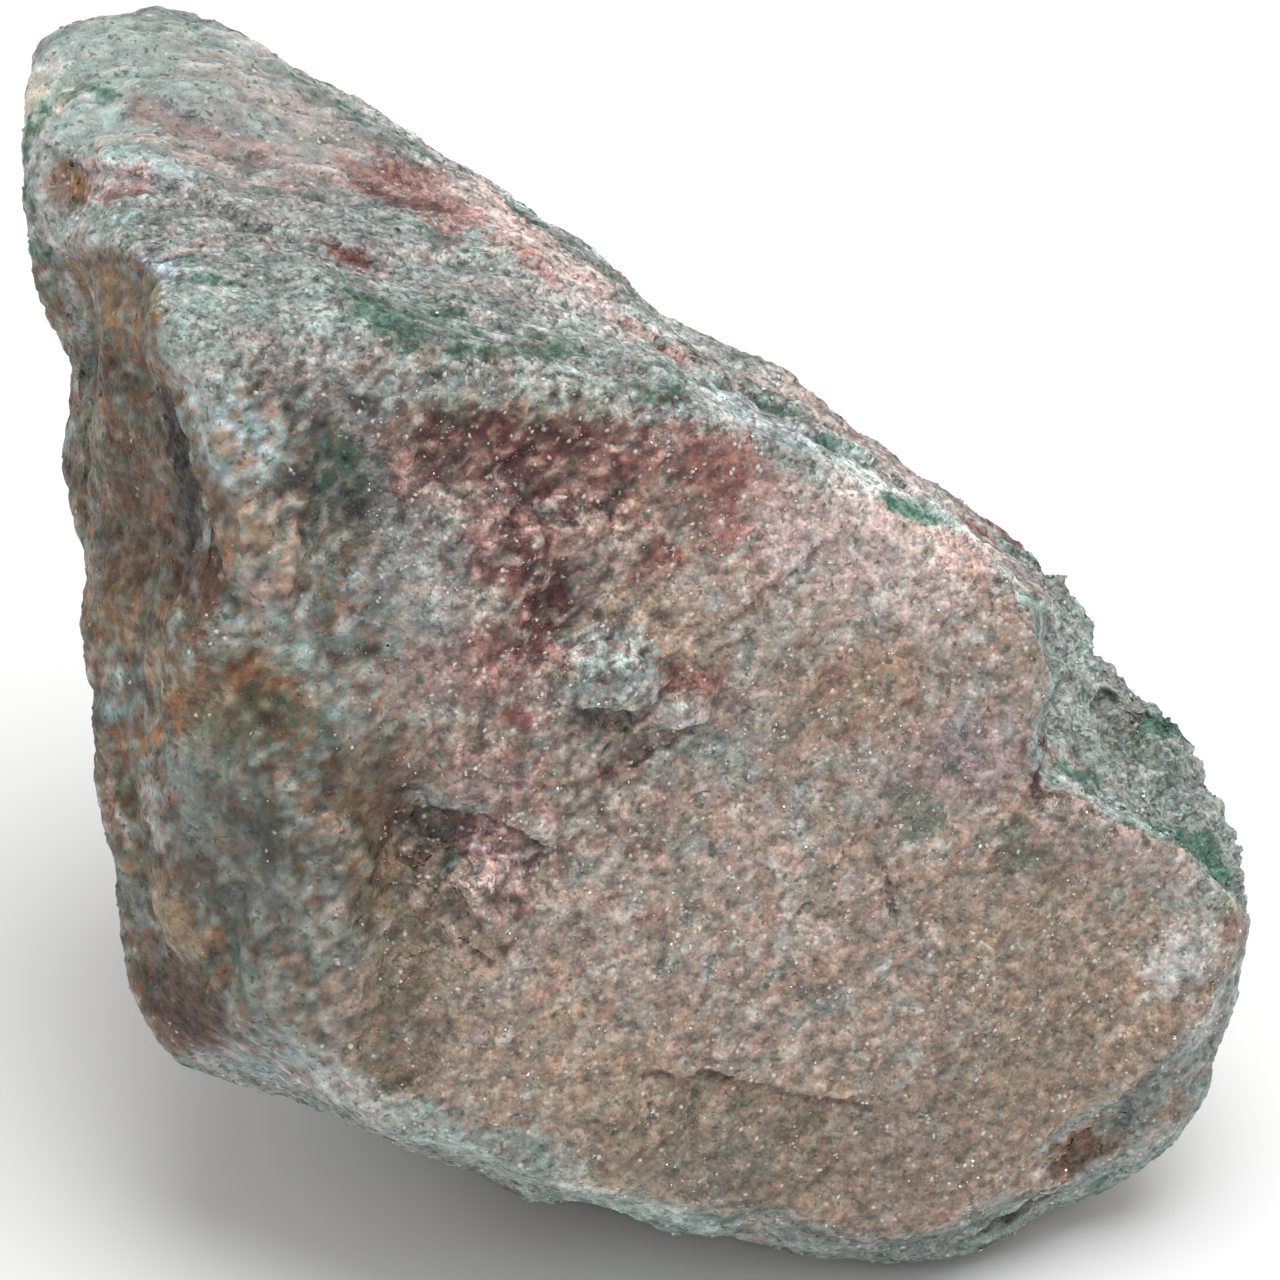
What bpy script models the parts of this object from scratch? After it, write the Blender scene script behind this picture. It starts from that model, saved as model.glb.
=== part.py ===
"""A rough, broken piece of aventurine: a green and red mica-bearing quartzite, in one solid.

The stone is drawn as it is seen with its large broken face towards the viewer: x runs to the right, y runs
up and z comes forward. It is then tipped back by LEAN, so that it lies on its small flat spot.
Lengths are in millimetres and become metres in the last step.
"""

import math
import random

import bmesh
import bpy
import numpy as np
from mathutils import Matrix, Vector, noise

# Driving dimensions
NAME = "stone"
MM = 0.001
LEAN = math.radians(35)  # how far the broken face is tipped back when the stone lies on its flat spot
RESTING_HEIGHT = -26.4  # the flat spot, measured up the tipped stone from the origin of the drawing
VIEW_DISTANCE = 300.0  # from the eye to the origin of the drawing, for the places of the surface forms
SCULPT_VOXEL = 0.6  # size of the facets while the surface is worked
TRIANGLES = 9400  # facets of the finished solid
BED_STEP = 0.34  # how far a bed may stand in or out where the break crosses it
BED_THICKNESS = (1.8, 4.6)  # the thinnest and the thickest bed
BEDS_REACH = 45.0  # how far back the beds run
SWELL = 0.55  # height of the broad swells of the break
SWELL_SPAN = 12.0
LUMP = 0.20  # height of its small uneven lumps, which are drawn out along STREAK
LUMP_SPAN = 3.2
SCOOP_SPAN = 5.2  # width of the scoops that flakes left behind
SCOOP_DEPTH = 0.8
CRUMB_SPAN = 2.2  # width of the lumps of the crumbling side
SEED = 17

# The broken face lies close to the plane z = FACE_Z - FACE_RIGHT * x + FACE_UP * y. The beds of the rock
# run parallel to it, one behind the other.
FACE_Z = 4.6
FACE_RIGHT = 0.25
FACE_UP = 0.20
BED_NORMAL = Vector((FACE_RIGHT, -FACE_UP, 1)).normalized()
STREAK = Vector((0.78, 0.62, 0.0)).normalized()  # the low ridges of the face run this way, up to the right

# Corners of the block that the stone was broken to, each (right, up, forward)
CREST = (
    (-18.2, 12.3, 10.6),
    (-11.7, 11.3, 9.8),
    (-6.6, 10.6, 8.4),
    (-3.1, 9.7, 7.3),
    (2.4, 8.9, 5.8),
    (6.3, 7.3, 4.5),
    (10.3, 5.6, 3.1),
    (12.7, 4.0, 2.2),
    (15.6, 0.8, 0.9),
    (16.4, -1.6, 0.2),
)
TOP_EDGE = (
    (-24.9, 21.1, -5.0),
    (-24.9, 22.9, -6.0),
    (-23.9, 24.9, -7.0),
    (-22.4, 25.8, -8.0),
    (-20.2, 26.1, -8.5),
    (-18.0, 25.6, -9.0),
    (-16.1, 24.5, -10.0),
    (-12.3, 22.4, -11.5),
    (-6.2, 18.0, -13.0),
    (-2.0, 14.9, -14.0),
    (2.3, 10.5, -13.5),
    (8.4, 7.6, -12.0),
    (13.4, 5.5, -10.0),
    (15.9, 2.4, -9.0),
    (19.0, 1.2, -8.0),
)
RIGHT_EDGE = (
    (22.6, -3.9, -8.0),
    (23.9, -6.0, -8.0),
    (24.8, -9.4, -7.5),
    (25.0, -11.7, -7.0),
    (24.7, -14.0, -7.5),
    (23.9, -17.5, -8.5),
    (22.3, -21.3, -9.5),
    (19.7, -23.1, -10.5),
)
BOTTOM_EDGE = (
    (14.9, -24.6, -9.0),
    (12.6, -25.5, -8.0),
    (10.3, -25.7, -7.5),
    (6.6, -25.0, -6.5),
    (2.5, -24.0, -5.5),
    (-3.3, -22.6, -4.0),
    (-9.8, -19.5, -2.5),
    (-13.8, -17.8, -2.5),
    (-17.8, -17.3, -2.5),
    (-19.8, -15.7, -2.5),
)
LEFT_EDGE = (
    (-20.6, -12.9, -3.0),
    (-20.8, -7.7, -3.5),
    (-22.4, 0.0, -3.0),
    (-21.9, 5.6, -2.5),
    (-22.4, 12.3, -1.5),
    (-23.3, 15.8, -1.5),
    (-24.3, 18.8, -3.0),
)
FRONT_RIDGE = (
    (-17.0, 8.1, 11.2),
    (-15.8, 3.1, 10.3),
    (-13.2, -2.3, 8.3),
    (-11.5, -8.6, 6.2),
    (-10.7, -14.2, 4.5),
    (-12.3, -17.1, 1.8),
)
FACE_RIM = (
    (21.9, -8.5, -2.6),
    (24.2, -11.0, -4.2),
    (22.8, -16.3, -5.0),
    (20.0, -20.0, -5.5),
    (14.7, -22.5, -4.5),
    (9.8, -23.8, -3.6),
    (2.4, -22.3, -1.5),
    (-4.0, -20.7, 0.5),
    (-9.6, -18.4, 2.0),
    (-14.8, -16.4, 1.0),
    (-18.4, -14.0, 0.4),
    (-17.4, -8.3, 3.6),
)
BACK = (
    (-19.5, 19.0, -14.0),
    (-8.0, 14.5, -20.0),
    (4.0, 7.0, -23.0),
    (13.5, -1.0, -21.0),
    (18.5, -6.0, -18.0),
    (18.0, -13.5, -20.0),
    (9.0, -11.0, -25.5),
    (-4.0, -11.0, -25.0),
    (-13.5, -6.0, -21.0),
    (-20.0, 4.0, -14.0),
    (-21.5, 12.5, -10.5),
    (-18.5, -9.0, -12.5),
)
UNDERSIDE = (
    (-8.0, -20.1, -18.4),
    (-3.0, -22.7, -14.7),
    (4.0, -23.0, -14.3),
    (8.0, -21.0, -17.1),
    (7.0, -18.1, -21.2),
    (0.0, -16.4, -23.7),
    (-6.0, -17.2, -22.5),
)
CORNERS = CREST + TOP_EDGE + RIGHT_EDGE + BOTTOM_EDGE + LEFT_EDGE + FRONT_RIDGE + FACE_RIM + BACK + UNDERSIDE


class Clay:
    """The stone's surface while it is worked, with the position and the normal of each point."""

    def __init__(self, mesh):
        self.mesh = mesh
        self.read()

    def read(self):
        count = len(self.mesh.vertices)
        flat = np.empty(count * 3, np.float32)
        self.mesh.vertices.foreach_get("co", flat)
        self.points = flat.reshape(-1, 3).astype(float)
        self.mesh.vertex_normals.foreach_get("vector", flat)
        self.normals = flat.reshape(-1, 3).astype(float)

    def move(self, steps):
        """Moves each point by its row of steps."""
        self.points = self.points + steps
        self.mesh.vertices.foreach_set("co", self.points.astype(np.float32).ravel())
        self.mesh.update()
        self.read()

    def push(self, heights):
        """Moves each point out along its normal, or in where its height is negative."""
        self.move(self.normals * np.asarray(heights)[:, None])

    def seen(self):
        """Where the viewer sees each point, in the plane of the drawing's origin, and how squarely."""
        scale = VIEW_DISTANCE / (VIEW_DISTANCE - self.points[:, 2:3])
        return self.points[:, :2] * scale, np.clip(self.normals[:, 2] * 5, 0, 1)

    def bed_depth(self):
        """How far each point lies behind the plane of the broken face."""
        x, y, z = self.points.T
        return (FACE_Z - FACE_RIGHT * x + FACE_UP * y - z) * BED_NORMAL.z


def rise(value):
    """From 0 to 1 along a smooth step, for a value that runs from 0 to 1."""
    value = np.clip(value, 0, 1)
    return value * value * (3 - 2 * value)


def drift(place):
    """A smoothly changing direction, to bend a pattern that would be too even."""
    right = noise.noise(place)
    up = noise.noise(place.yzx + Vector((9, 4, 7)))
    forward = noise.noise(place.zxy * -1)
    return Vector((right, up, forward))


def uneven(clay, *sizes):
    """A value for each point that changes smoothly, the sum of one (span, height) pattern after another."""
    return np.array([sum(noise.noise(Vector(p) / span) * high for span, high in sizes) for p in clay.points])


def path_distance(places, path):
    """The distance of each place to a line through the points of path, and the side that it lies on."""
    best = np.full(len(places), 1e9)
    side = np.ones(len(places))
    for start, end in zip(path, path[1:]):
        start = np.array(start)
        run = np.array(end) - start
        along = np.clip((places - start) @ run / (run @ run), 0, 1)
        off = places - start - along[:, None] * run
        length = np.hypot(off[:, 0], off[:, 1])
        nearer = length < best
        turn = run[0] * off[:, 1] - run[1] * off[:, 0]
        side[nearer] = np.sign(turn[nearer])
        best = np.minimum(best, length)
    return best, side


def groove(clay, path, width, depth):
    """A hollow line along path, or a ridge where depth is negative."""
    places, facing = clay.seen()
    distance = path_distance(places, path)[0]
    clay.push(-depth * facing * np.exp(-((distance / width) ** 2)))


def mound(clay, centre, size, height, turn=0.0):
    """A rounded rise over an oval, or a hollow where height is negative."""
    places, facing = clay.seen()
    off = places - np.array(centre)
    cos, sin = math.cos(math.radians(turn)), math.sin(math.radians(turn))
    along = (off[:, 0] * cos + off[:, 1] * sin) / size[0]
    across = (off[:, 1] * cos - off[:, 0] * sin) / size[1]
    clay.push(height * facing * rise(1.25 - np.hypot(along, across)))


def dent(clay, centre, radius, depth):
    """A hollow round a point in space, for the edges that the viewer sees end on."""
    distance = np.linalg.norm(clay.points - np.array(centre), axis=1)
    clay.push(-depth * rise(1 - distance / radius))


def ledge(clay, path, drop, reach, edge=0.5):
    """A step along path: the surface on its right falls by drop and comes back up within reach."""
    places, facing = clay.seen()
    distance, side = path_distance(places, path)
    middle = (np.array(path[0]) + np.array(path[-1])) / 2
    half = np.linalg.norm(np.array(path[0]) - np.array(path[-1])) / 2
    inside = rise(1.6 - np.linalg.norm(places - middle, axis=1) / half)
    fall = rise(distance / edge) * rise(1 - distance / reach) * inside
    clay.push(-drop * facing * np.where(side < 0, fall, 0))


def shave(clay, outline, plane, edge=0.5):
    """Cuts what stands in front of a plane, z = plane[0] + plane[1] * x + plane[2] * y, within an outline."""
    places, facing = clay.seen()
    closed = tuple(outline) + (outline[0],)
    distance = path_distance(places, closed)[0]
    crossings = np.zeros(len(places), int)
    for (ax, ay), (bx, by) in zip(closed, closed[1:]):
        spans = (ay > places[:, 1]) != (by > places[:, 1])
        at = ax + (places[:, 1] - ay) * (bx - ax) / (by - ay + 1e-9)
        crossings += spans & (places[:, 0] < at)
    within = np.where(crossings % 2 == 1, rise(distance / edge), 0)
    x, y, z = clay.points.T
    over = np.maximum(z - (plane[0] + plane[1] * x + plane[2] * y), 0)
    steps = np.zeros_like(clay.points)
    steps[:, 2] = -over * within * (facing > 0)
    clay.move(steps)


def chip(clay, point, outward, radius):
    """Breaks the stone off flat: what stands beyond the plane through point goes, within radius of it."""
    outward = np.array(Vector(outward).normalized())
    off = clay.points - np.array(point)
    beyond = np.maximum(off @ outward, 0)
    near = rise((radius - np.linalg.norm(off, axis=1)) / 1.5)
    clay.move(-outward * (beyond * near)[:, None])


def crumble(clay, centre, radius, height):
    """Small lumps that stand close together, within radius of centre."""
    near = rise((radius - np.linalg.norm(clay.points - np.array(centre), axis=1)) / CRUMB_SPAN)
    lumps = []
    for point in clay.points:
        warped = Vector(point) + drift(Vector(point) / 2) * 0.5
        lumps.append(0.35 - nearest_seed(warped / CRUMB_SPAN))
    clay.push(height * near * np.array(lumps))


def back_step(clay, start, end, drop):
    """A ledge on the back, which is a bed face: to the right of the line from start to end it lies deeper."""
    ragged = uneven(clay, (5.0, 2.2), (1.7, 0.5))
    run = np.array(end) - np.array(start)
    off = clay.points[:, :2] - np.array(start)
    side = (run[1] * off[:, 0] - run[0] * off[:, 1]) / np.hypot(*run) + ragged
    facing_back = rise(-(clay.normals @ np.array(BED_NORMAL)) * 2.5 - 0.6)
    depth = drop * rise(side / 0.9 + 0.5) * facing_back
    clay.move(np.array(BED_NORMAL) * depth[:, None])


def nearest_seed(place):
    """The distance to the nearest of many scattered points, about one apart."""
    return noise.voronoi(place, distance_metric="DISTANCE")[0][0]


def across_beds(clay):
    """1 where the surface cuts across the beds, 0 where it runs along them."""
    return rise((1 - np.abs(clay.normals @ np.array(BED_NORMAL))) * 1.6)


def beds(clay, chance):
    """Ragged steps wherever the surface cuts across the beds, each bed standing a little in or out."""
    edges = [0.0]
    while edges[-1] < BEDS_REACH:
        edges.append(edges[-1] + chance.uniform(*BED_THICKNESS))
    stands = [chance.uniform(-BED_STEP, BED_STEP) for _ in edges]
    depth = clay.bed_depth() + uneven(clay, (9.0, 1.8), (3.0, 0.4))
    height = np.full(len(depth), stands[0])
    step_width = 0.6
    for start, before, after in zip(edges[1:], stands, stands[1:]):
        height += (after - before) * rise((depth - start) / step_width + 0.5)
    clay.push(height * across_beds(clay))


def fracture(clay):
    """The uneven surface of the break: broad swells, and scoops that meet in low ridges."""
    heights = []
    for point, across in zip(clay.points, across_beds(clay)):
        place = Vector(point)
        swell = noise.noise(place / SWELL_SPAN) * SWELL
        drawn_out = place - STREAK * (place.dot(STREAK) * 0.65)
        lumps = noise.fractal(drawn_out / LUMP_SPAN, 0.9, 2.1, 3) * LUMP
        near = nearest_seed((place + drift(place / 6) * 1.5) / SCOOP_SPAN)
        scoop = min(near, SCOOP_DEPTH) ** 2 - 0.22
        heights.append(swell + lumps + scoop * (0.35 + 0.75 * across))
    clay.push(heights)


def shape_broken_face(clay):
    """The forms of the large face."""
    # hollows under the crest and beside the front ridge
    mound(clay, centre=(-3.6, 6.2), size=(5.4, 2.0), height=-0.7, turn=-12)
    mound(clay, centre=(-3.6, 1.4), size=(1.3, 2.4), height=-0.6)
    mound(clay, centre=(-12.0, 5.2), size=(2.2, 3.0), height=-0.6)
    # two knobs with a crease under them
    mound(clay, centre=(-1.4, -1.7), size=(1.9, 1.3), height=0.9)
    mound(clay, centre=(1.9, -2.7), size=(1.2, 1.0), height=0.8)
    groove(clay, path=((-0.9, -3.4), (0.6, -3.6), (2.4, -4.2)), width=0.7, depth=0.5)
    # the valley on the left, and the pit below its ledge
    groove(clay, path=((-12.2, -5.0), (-10.2, -8.4), (-9.7, -12.4), (-10.1, -16.4)), width=1.6, depth=0.9)
    ledge(clay, path=((-9.6, -6.0), (-7.0, -6.4), (-4.6, -7.0), (-3.2, -8.2)), drop=1.5, reach=3.6)
    mound(clay, centre=(-8.6, -8.0), size=(1.4, 2.2), height=-0.8, turn=15)
    mound(clay, centre=(-7.0, -10.2), size=(1.4, 1.8), height=0.5)
    # the crack's low ledge, and the broad swelling at the lower right
    crack = ((-0.2, -17.2), (2.2, -17.4), (4.6, -17.3), (6.4, -18.2), (9.2, -18.8))
    ledge(clay, path=crack, drop=0.4, reach=3.0)
    mound(clay, centre=(12.0, -12.0), size=(9.0, 7.0), height=0.4, turn=-20)
    # the lower edge, a little worn
    dent(clay, centre=(-5.6, -22.4, -3.5), radius=4.0, depth=0.9)
    dent(clay, centre=(-13.0, -18.6, -2.5), radius=6.0, depth=0.35)


def shape_left_facet(clay):
    """The side left of the front ridge: a deep groove beside the ridge, and a swelling below."""
    beside_ridge = ((-19.0, 10.0), (-18.1, 7.4), (-17.3, 4.8), (-16.9, 2.2), (-15.4, -0.6))
    groove(clay, path=beside_ridge, width=0.9, depth=1.0)
    mound(clay, centre=(-19.2, 4.2), size=(2.6, 4.2), height=-1.1)
    mound(clay, centre=(-16.0, -2.6), size=(2.4, 1.8), height=-0.5)
    mound(clay, centre=(-19.0, -9.0), size=(2.2, 3.2), height=0.5)
    mound(clay, centre=(-15.2, -13.4), size=(2.8, 2.6), height=0.7)
    groove(clay, path=((-17.6, -7.4), (-18.2, -10.4), (-17.2, -13.2)), width=0.6, depth=0.5)
    # the seam in front of the dark bed at the far left
    seam = ((-21.5, -2.2), (-20.9, -6.0), (-20.2, -9.6), (-19.8, -11.6))
    groove(clay, path=seam, width=0.5, depth=0.6)
    dent(clay, centre=(-25.2, 17.6, -4.5), radius=3.2, depth=0.4)
    dent(clay, centre=(-23.4, 11.5, -2.0), radius=6.5, depth=1.5)
    dent(clay, centre=(-22.8, 4.4, -3.5), radius=4.5, depth=0.4)
    dent(clay, centre=(-21.8, -3.0, -5.5), radius=5.0, depth=1.0)
    dent(clay, centre=(-21.6, -9.6, -5.0), radius=4.0, depth=1.0)


def shape_top(clay):
    """The ledged top: a hollow and a small lip at its left end, and a gutter behind the front bed."""
    mound(clay, centre=(-22.6, 17.8), size=(1.1, 0.9), height=-0.9)
    lower_seam = ((-23.4, 18.9), (-20.4, 18.6), (-16.0, 16.8), (-12.4, 15.4), (-8.6, 13.8))
    groove(clay, path=lower_seam, width=0.6, depth=0.5)
    lip = ((-20.2, 21.6), (-17.0, 20.8), (-14.2, 19.2), (-10.4, 19.0))
    groove(clay, path=lip, width=0.7, depth=-0.4)
    gutter = ((5.0, 9.9), (9.8, 7.2), (12.2, 5.2), (15.0, 2.2))
    groove(clay, path=gutter, width=1.1, depth=0.6)
    # the sag along the middle of the far edge
    dent(clay, centre=(1.6, 13.0, -3.5), radius=6.0, depth=0.7)
    dent(clay, centre=(3.6, 11.8, -5.5), radius=4.5, depth=0.5)
    dent(clay, centre=(3.4, 11.6, -12.5), radius=7.0, depth=0.8)
    dent(clay, centre=(8.5, 9.0, -9.5), radius=4.5, depth=0.5)


def shape_back(clay):
    """The hidden side: bed faces that end in ragged ledges, with flakes gone from its corners."""
    back_step(clay, start=(-24.0, 4.0), end=(22.0, -14.0), drop=1.6)
    back_step(clay, start=(-16.0, 20.0), end=(-7.0, -20.0), drop=-1.1)
    back_step(clay, start=(9.0, -24.0), end=(13.0, 8.0), drop=1.3)
    chip(clay, point=(-20.5, 6.0, -11.5), outward=(-0.85, 0.1, -0.52), radius=9.0)
    chip(clay, point=(17.0, -16.0, -17.0), outward=(0.66, -0.25, -0.7), radius=8.0)
    chip(clay, point=(-13.5, -17.0, -13.0), outward=(-0.55, -0.62, -0.55), radius=8.0)
    chip(clay, point=(7.0, 5.0, -22.0), outward=(0.2, 0.45, -0.87), radius=7.0)
    chip(clay, point=(-13.0, 17.5, -16.0), outward=(-0.3, 0.35, -0.9), radius=6.5)


def shape_right_side(clay):
    """The crumbling side: a bay that bites into the broken face, a notch in the outline and a pit."""
    bay = (
        (17.6, 3.4),
        (15.9, 0.4),
        (16.3, -1.6),
        (15.9, -3.8),
        (15.8, -6.0),
        (18.2, -7.0),
        (21.6, -8.3),
        (24.2, -11.0),
        (27.0, -11.0),
        (27.0, 3.0),
    )
    shave(clay, outline=bay, plane=(9.7, -0.91, -0.73))
    crumble(clay, centre=(20.5, -4.5, -4.5), radius=8.0, height=0.6)
    chip(clay, point=(21.0, -2.1, -8.0), outward=(0.5, 0.87, 0.0), radius=4.1)
    mound(clay, centre=(19.3, -3.4), size=(1.0, 0.8), height=-0.9)
    groove(clay, path=((16.4, -3.0), (16.0, -5.6)), width=0.5, depth=0.5)
    mound(clay, centre=(21.0, -5.2), size=(1.6, 1.4), height=0.5)


def shape_lower_right(clay):
    """The chipped corner at the lower right, with its brown hollow and the creased lip below."""
    rim = ((14.4, -22.0), (16.8, -19.6), (19.6, -17.2), (22.2, -14.8))
    ledge(clay, path=rim, drop=0.8, reach=4.0)
    mound(clay, centre=(18.0, -19.8), size=(2.4, 1.1), height=-0.9, turn=38)
    crease = ((16.6, -22.8), (14.6, -23.4), (12.0, -24.5), (8.4, -25.2))
    groove(clay, path=crease, width=0.5, depth=0.7)
    chip(clay, point=(17.9, -23.2, -9.0), outward=(0.35, -0.94, 0.0), radius=3.6)
    dent(clay, centre=(22.3, -19.5, -8.8), radius=4.0, depth=-0.6)


def clear_scene():
    for thing in list(bpy.data.objects):
        bpy.data.objects.remove(thing)


def collection(name):
    made = bpy.data.collections.new(name)
    bpy.context.scene.collection.children.link(made)
    return made


def block_mesh():
    """The straight-sided block between all the named corners."""
    work = bmesh.new()
    for corner in CORNERS:
        work.verts.new(corner)
    hull = bmesh.ops.convex_hull(work, input=work.verts)
    inside = {v for v in hull["geom_interior"] + hull["geom_unused"] if isinstance(v, bmesh.types.BMVert)}
    bmesh.ops.delete(work, geom=list(inside), context="VERTS")
    bmesh.ops.recalc_face_normals(work, faces=work.faces)
    mesh = bpy.data.meshes.new("block")
    work.to_mesh(mesh)
    work.free()
    return mesh


def apply_modifiers(thing):
    bpy.context.view_layer.update()
    graph = bpy.context.evaluated_depsgraph_get()
    thing.data = bpy.data.meshes.new_from_object(thing.evaluated_get(graph))
    thing.modifiers.clear()


def even_out(stone):
    """Gives the surface even facets, and closes it where it was pushed through itself."""
    evened = stone.modifiers.new("even facets", "REMESH")
    evened.mode = "VOXEL"
    evened.voxel_size = SCULPT_VOXEL
    apply_modifiers(stone)


def body_with(vertex, unvisited):
    """All the vertices that edges join to this one."""
    body = []
    growing = [vertex]
    while growing:
        vertex = growing.pop()
        body.append(vertex)
        for edge in vertex.link_edges:
            other = edge.other_vert(vertex)
            if other in unvisited:
                unvisited.remove(other)
                growing.append(other)
    return body


def drop_specks(stone):
    """Deletes any speck that the working of the surface pinched off."""
    work = bmesh.new()
    work.from_mesh(stone.data)
    unvisited = set(work.verts)
    bodies = []
    while unvisited:
        bodies.append(body_with(unvisited.pop(), unvisited))
    bodies.sort(key=len)
    for speck in bodies[:-1]:
        bmesh.ops.delete(work, geom=speck, context="VERTS")
    work.to_mesh(stone.data)
    work.free()


def rock_material():
    material = bpy.data.materials.new("aventurine")
    material.use_nodes = True
    shader = material.node_tree.nodes["Principled BSDF"]
    shader.inputs["Base Color"].default_value = (0.31, 0.25, 0.21, 1)
    shader.inputs["Roughness"].default_value = 0.75
    shader.inputs["Metallic"].default_value = 0.0
    return material


def cut_flat_spot(stone, cutters):
    """Cuts the lowest part off level, which leaves the small flat spot that the stone lies on."""
    side = 200.0
    bpy.ops.mesh.primitive_cube_add(size=side, location=(0, 0, RESTING_HEIGHT - side / 2))
    ground = bpy.context.object
    ground.name = "ground cutter"
    for holder in ground.users_collection:
        holder.objects.unlink(ground)
    cutters.objects.link(ground)
    ground.hide_render = True
    ground.display_type = "WIRE"
    cut = stone.modifiers.new("flat spot", "BOOLEAN")
    cut.operation = "DIFFERENCE"
    cut.object = ground
    apply_modifiers(stone)
    bpy.data.objects.remove(ground)


def place_and_scale(stone):
    """Puts the origin under the middle of the stone, on the plane it rests on, and turns it to metres."""
    corners = np.array([vertex.co for vertex in stone.data.vertices])
    low, high = corners.min(0), corners.max(0)
    to_origin = Vector((-(low[0] + high[0]) / 2, -(low[1] + high[1]) / 2, -low[2]))
    stone.data.transform(Matrix.Scale(MM, 4) @ Matrix.Translation(to_origin))
    stone["drawing_origin"] = to_origin * MM
    print("drawing origin in mm", [round(v, 2) for v in to_origin])


def main():
    clear_scene()
    stones = collection("aventurine")
    cutters = collection("cutters")
    stone = bpy.data.objects.new(NAME, block_mesh())
    stones.objects.link(stone)

    even_out(stone)
    clay = Clay(stone.data)
    beds(clay, random.Random(SEED))
    fracture(clay)
    shape_broken_face(clay)
    shape_left_facet(clay)
    shape_top(clay)
    shape_back(clay)
    shape_right_side(clay)
    shape_lower_right(clay)
    even_out(stone)
    drop_specks(stone)

    stone.data.transform(Matrix.Rotation(math.pi / 2 - LEAN, 4, "X"))
    fewer = stone.modifiers.new("fewer facets", "DECIMATE")
    fewer.ratio = TRIANGLES / (2 * len(stone.data.polygons))
    apply_modifiers(stone)
    cut_flat_spot(stone, cutters)
    place_and_scale(stone)
    stone.data.materials.clear()
    stone.data.materials.append(rock_material())
    for face in stone.data.polygons:
        face.use_smooth = False


main()
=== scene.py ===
"""The look of the rough aventurine: its sugary grain, its mica flakes and its bands and stains of colour."""

import math

import bmesh
import bpy
import numpy as np
from mathutils import Matrix, Vector, noise
from mathutils.bvhtree import BVHTree


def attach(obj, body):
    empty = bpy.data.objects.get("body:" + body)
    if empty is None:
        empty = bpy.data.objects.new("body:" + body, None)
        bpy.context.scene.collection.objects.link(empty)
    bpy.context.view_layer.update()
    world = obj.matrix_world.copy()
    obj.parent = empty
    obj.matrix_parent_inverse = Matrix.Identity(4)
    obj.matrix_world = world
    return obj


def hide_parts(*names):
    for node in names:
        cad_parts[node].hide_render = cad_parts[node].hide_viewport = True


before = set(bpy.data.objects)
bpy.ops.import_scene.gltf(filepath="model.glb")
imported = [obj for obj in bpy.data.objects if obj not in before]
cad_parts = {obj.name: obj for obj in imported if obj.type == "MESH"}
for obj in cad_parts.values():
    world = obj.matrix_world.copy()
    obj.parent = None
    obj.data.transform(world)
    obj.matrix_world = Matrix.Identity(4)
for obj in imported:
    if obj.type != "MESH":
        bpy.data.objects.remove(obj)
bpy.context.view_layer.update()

# Lengths are in millimetres until a mesh is finished.
MM = 0.001
SEED = 4
TO_VIEW_TILT = math.radians(90 - 35)  # the large broken face is seen from 35 degrees above the floor
VIEW_ORIGIN = np.array((0.07, -5.70, 26.40))  # the point of the stone that the camera looks at
VIEW_DISTANCE = 300.0
PHOTO_SIDE = 1280
PIXELS_PER_MM = 25.0  # in the plane of the view origin

# The broken face lies close to this plane of the view, z = FACE_Z - FACE_RIGHT * x + FACE_UP * y, and the
# beds run parallel to it.
FACE_Z = 4.6
FACE_RIGHT = 0.25
FACE_UP = 0.20
STREAK = np.array((0.78, 0.62, 0.0)) / math.hypot(0.78, 0.62)  # grains are drawn out this way on the face

SURFACE_VOXEL = 0.154  # four pieces of this fineness stay under 200,000 triangles each
SMOOTHING = 16  # rounds of smoothing, which wear the solid's edges a little
THIN_BEDS = ((1.45, 0.20), (0.55, 0.10))  # thickness of the thin beds, and how far their edges stand out
TERRACE = 0.09  # how high a broken lamina stands
TERRACE_SPAN = 3.4
LUMP = 0.11  # height of the lumps on the laminae
LUMP_SPAN = 1.2
CHIP = 0.27  # how steep the chipped facets of every side are
CHIP_SPAN = 1.5
CRACK_WIDTH = 0.17
CRACK_DEPTH = 0.34
GRAINS = 5000
FLAKES = 4500
CLOUD_SCALE = 2600.0  # the material's noise changes over about 0.4 mm
CELL_SCALE = 5400.0  # and its grains are about 0.2 mm across
FLOOR_SIDE = 4.0  # in metres
ROOM_LIGHT = 0.56
LAMP_LIGHT = 1.9
LAMP_SPREAD = math.radians(40)
LEFT_SIDE_TOP = 15.2  # the stained left side ends this high in the view
LEFT_SIDE_DRAWN = 0.27  # its blotches are drawn out from front to back, to nearly four times their width
BEDDED_DRAWN = 0.45  # where the beds are cut across, blotches are drawn out along them

# Lines through special parts of the stone, as pixels of the photograph.
RUGGED = ((350, 450), (480, 440), (620, 450), (530, 600), (600, 690), (480, 850))
WEATHERED = ((250, 480), (300, 620), (300, 760), (270, 900), (240, 1010))
CRUMBLING = ((1075, 640), (1120, 720), (1190, 820))
FAR_LOBE = ((90, 60), (220, 90))

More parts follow.
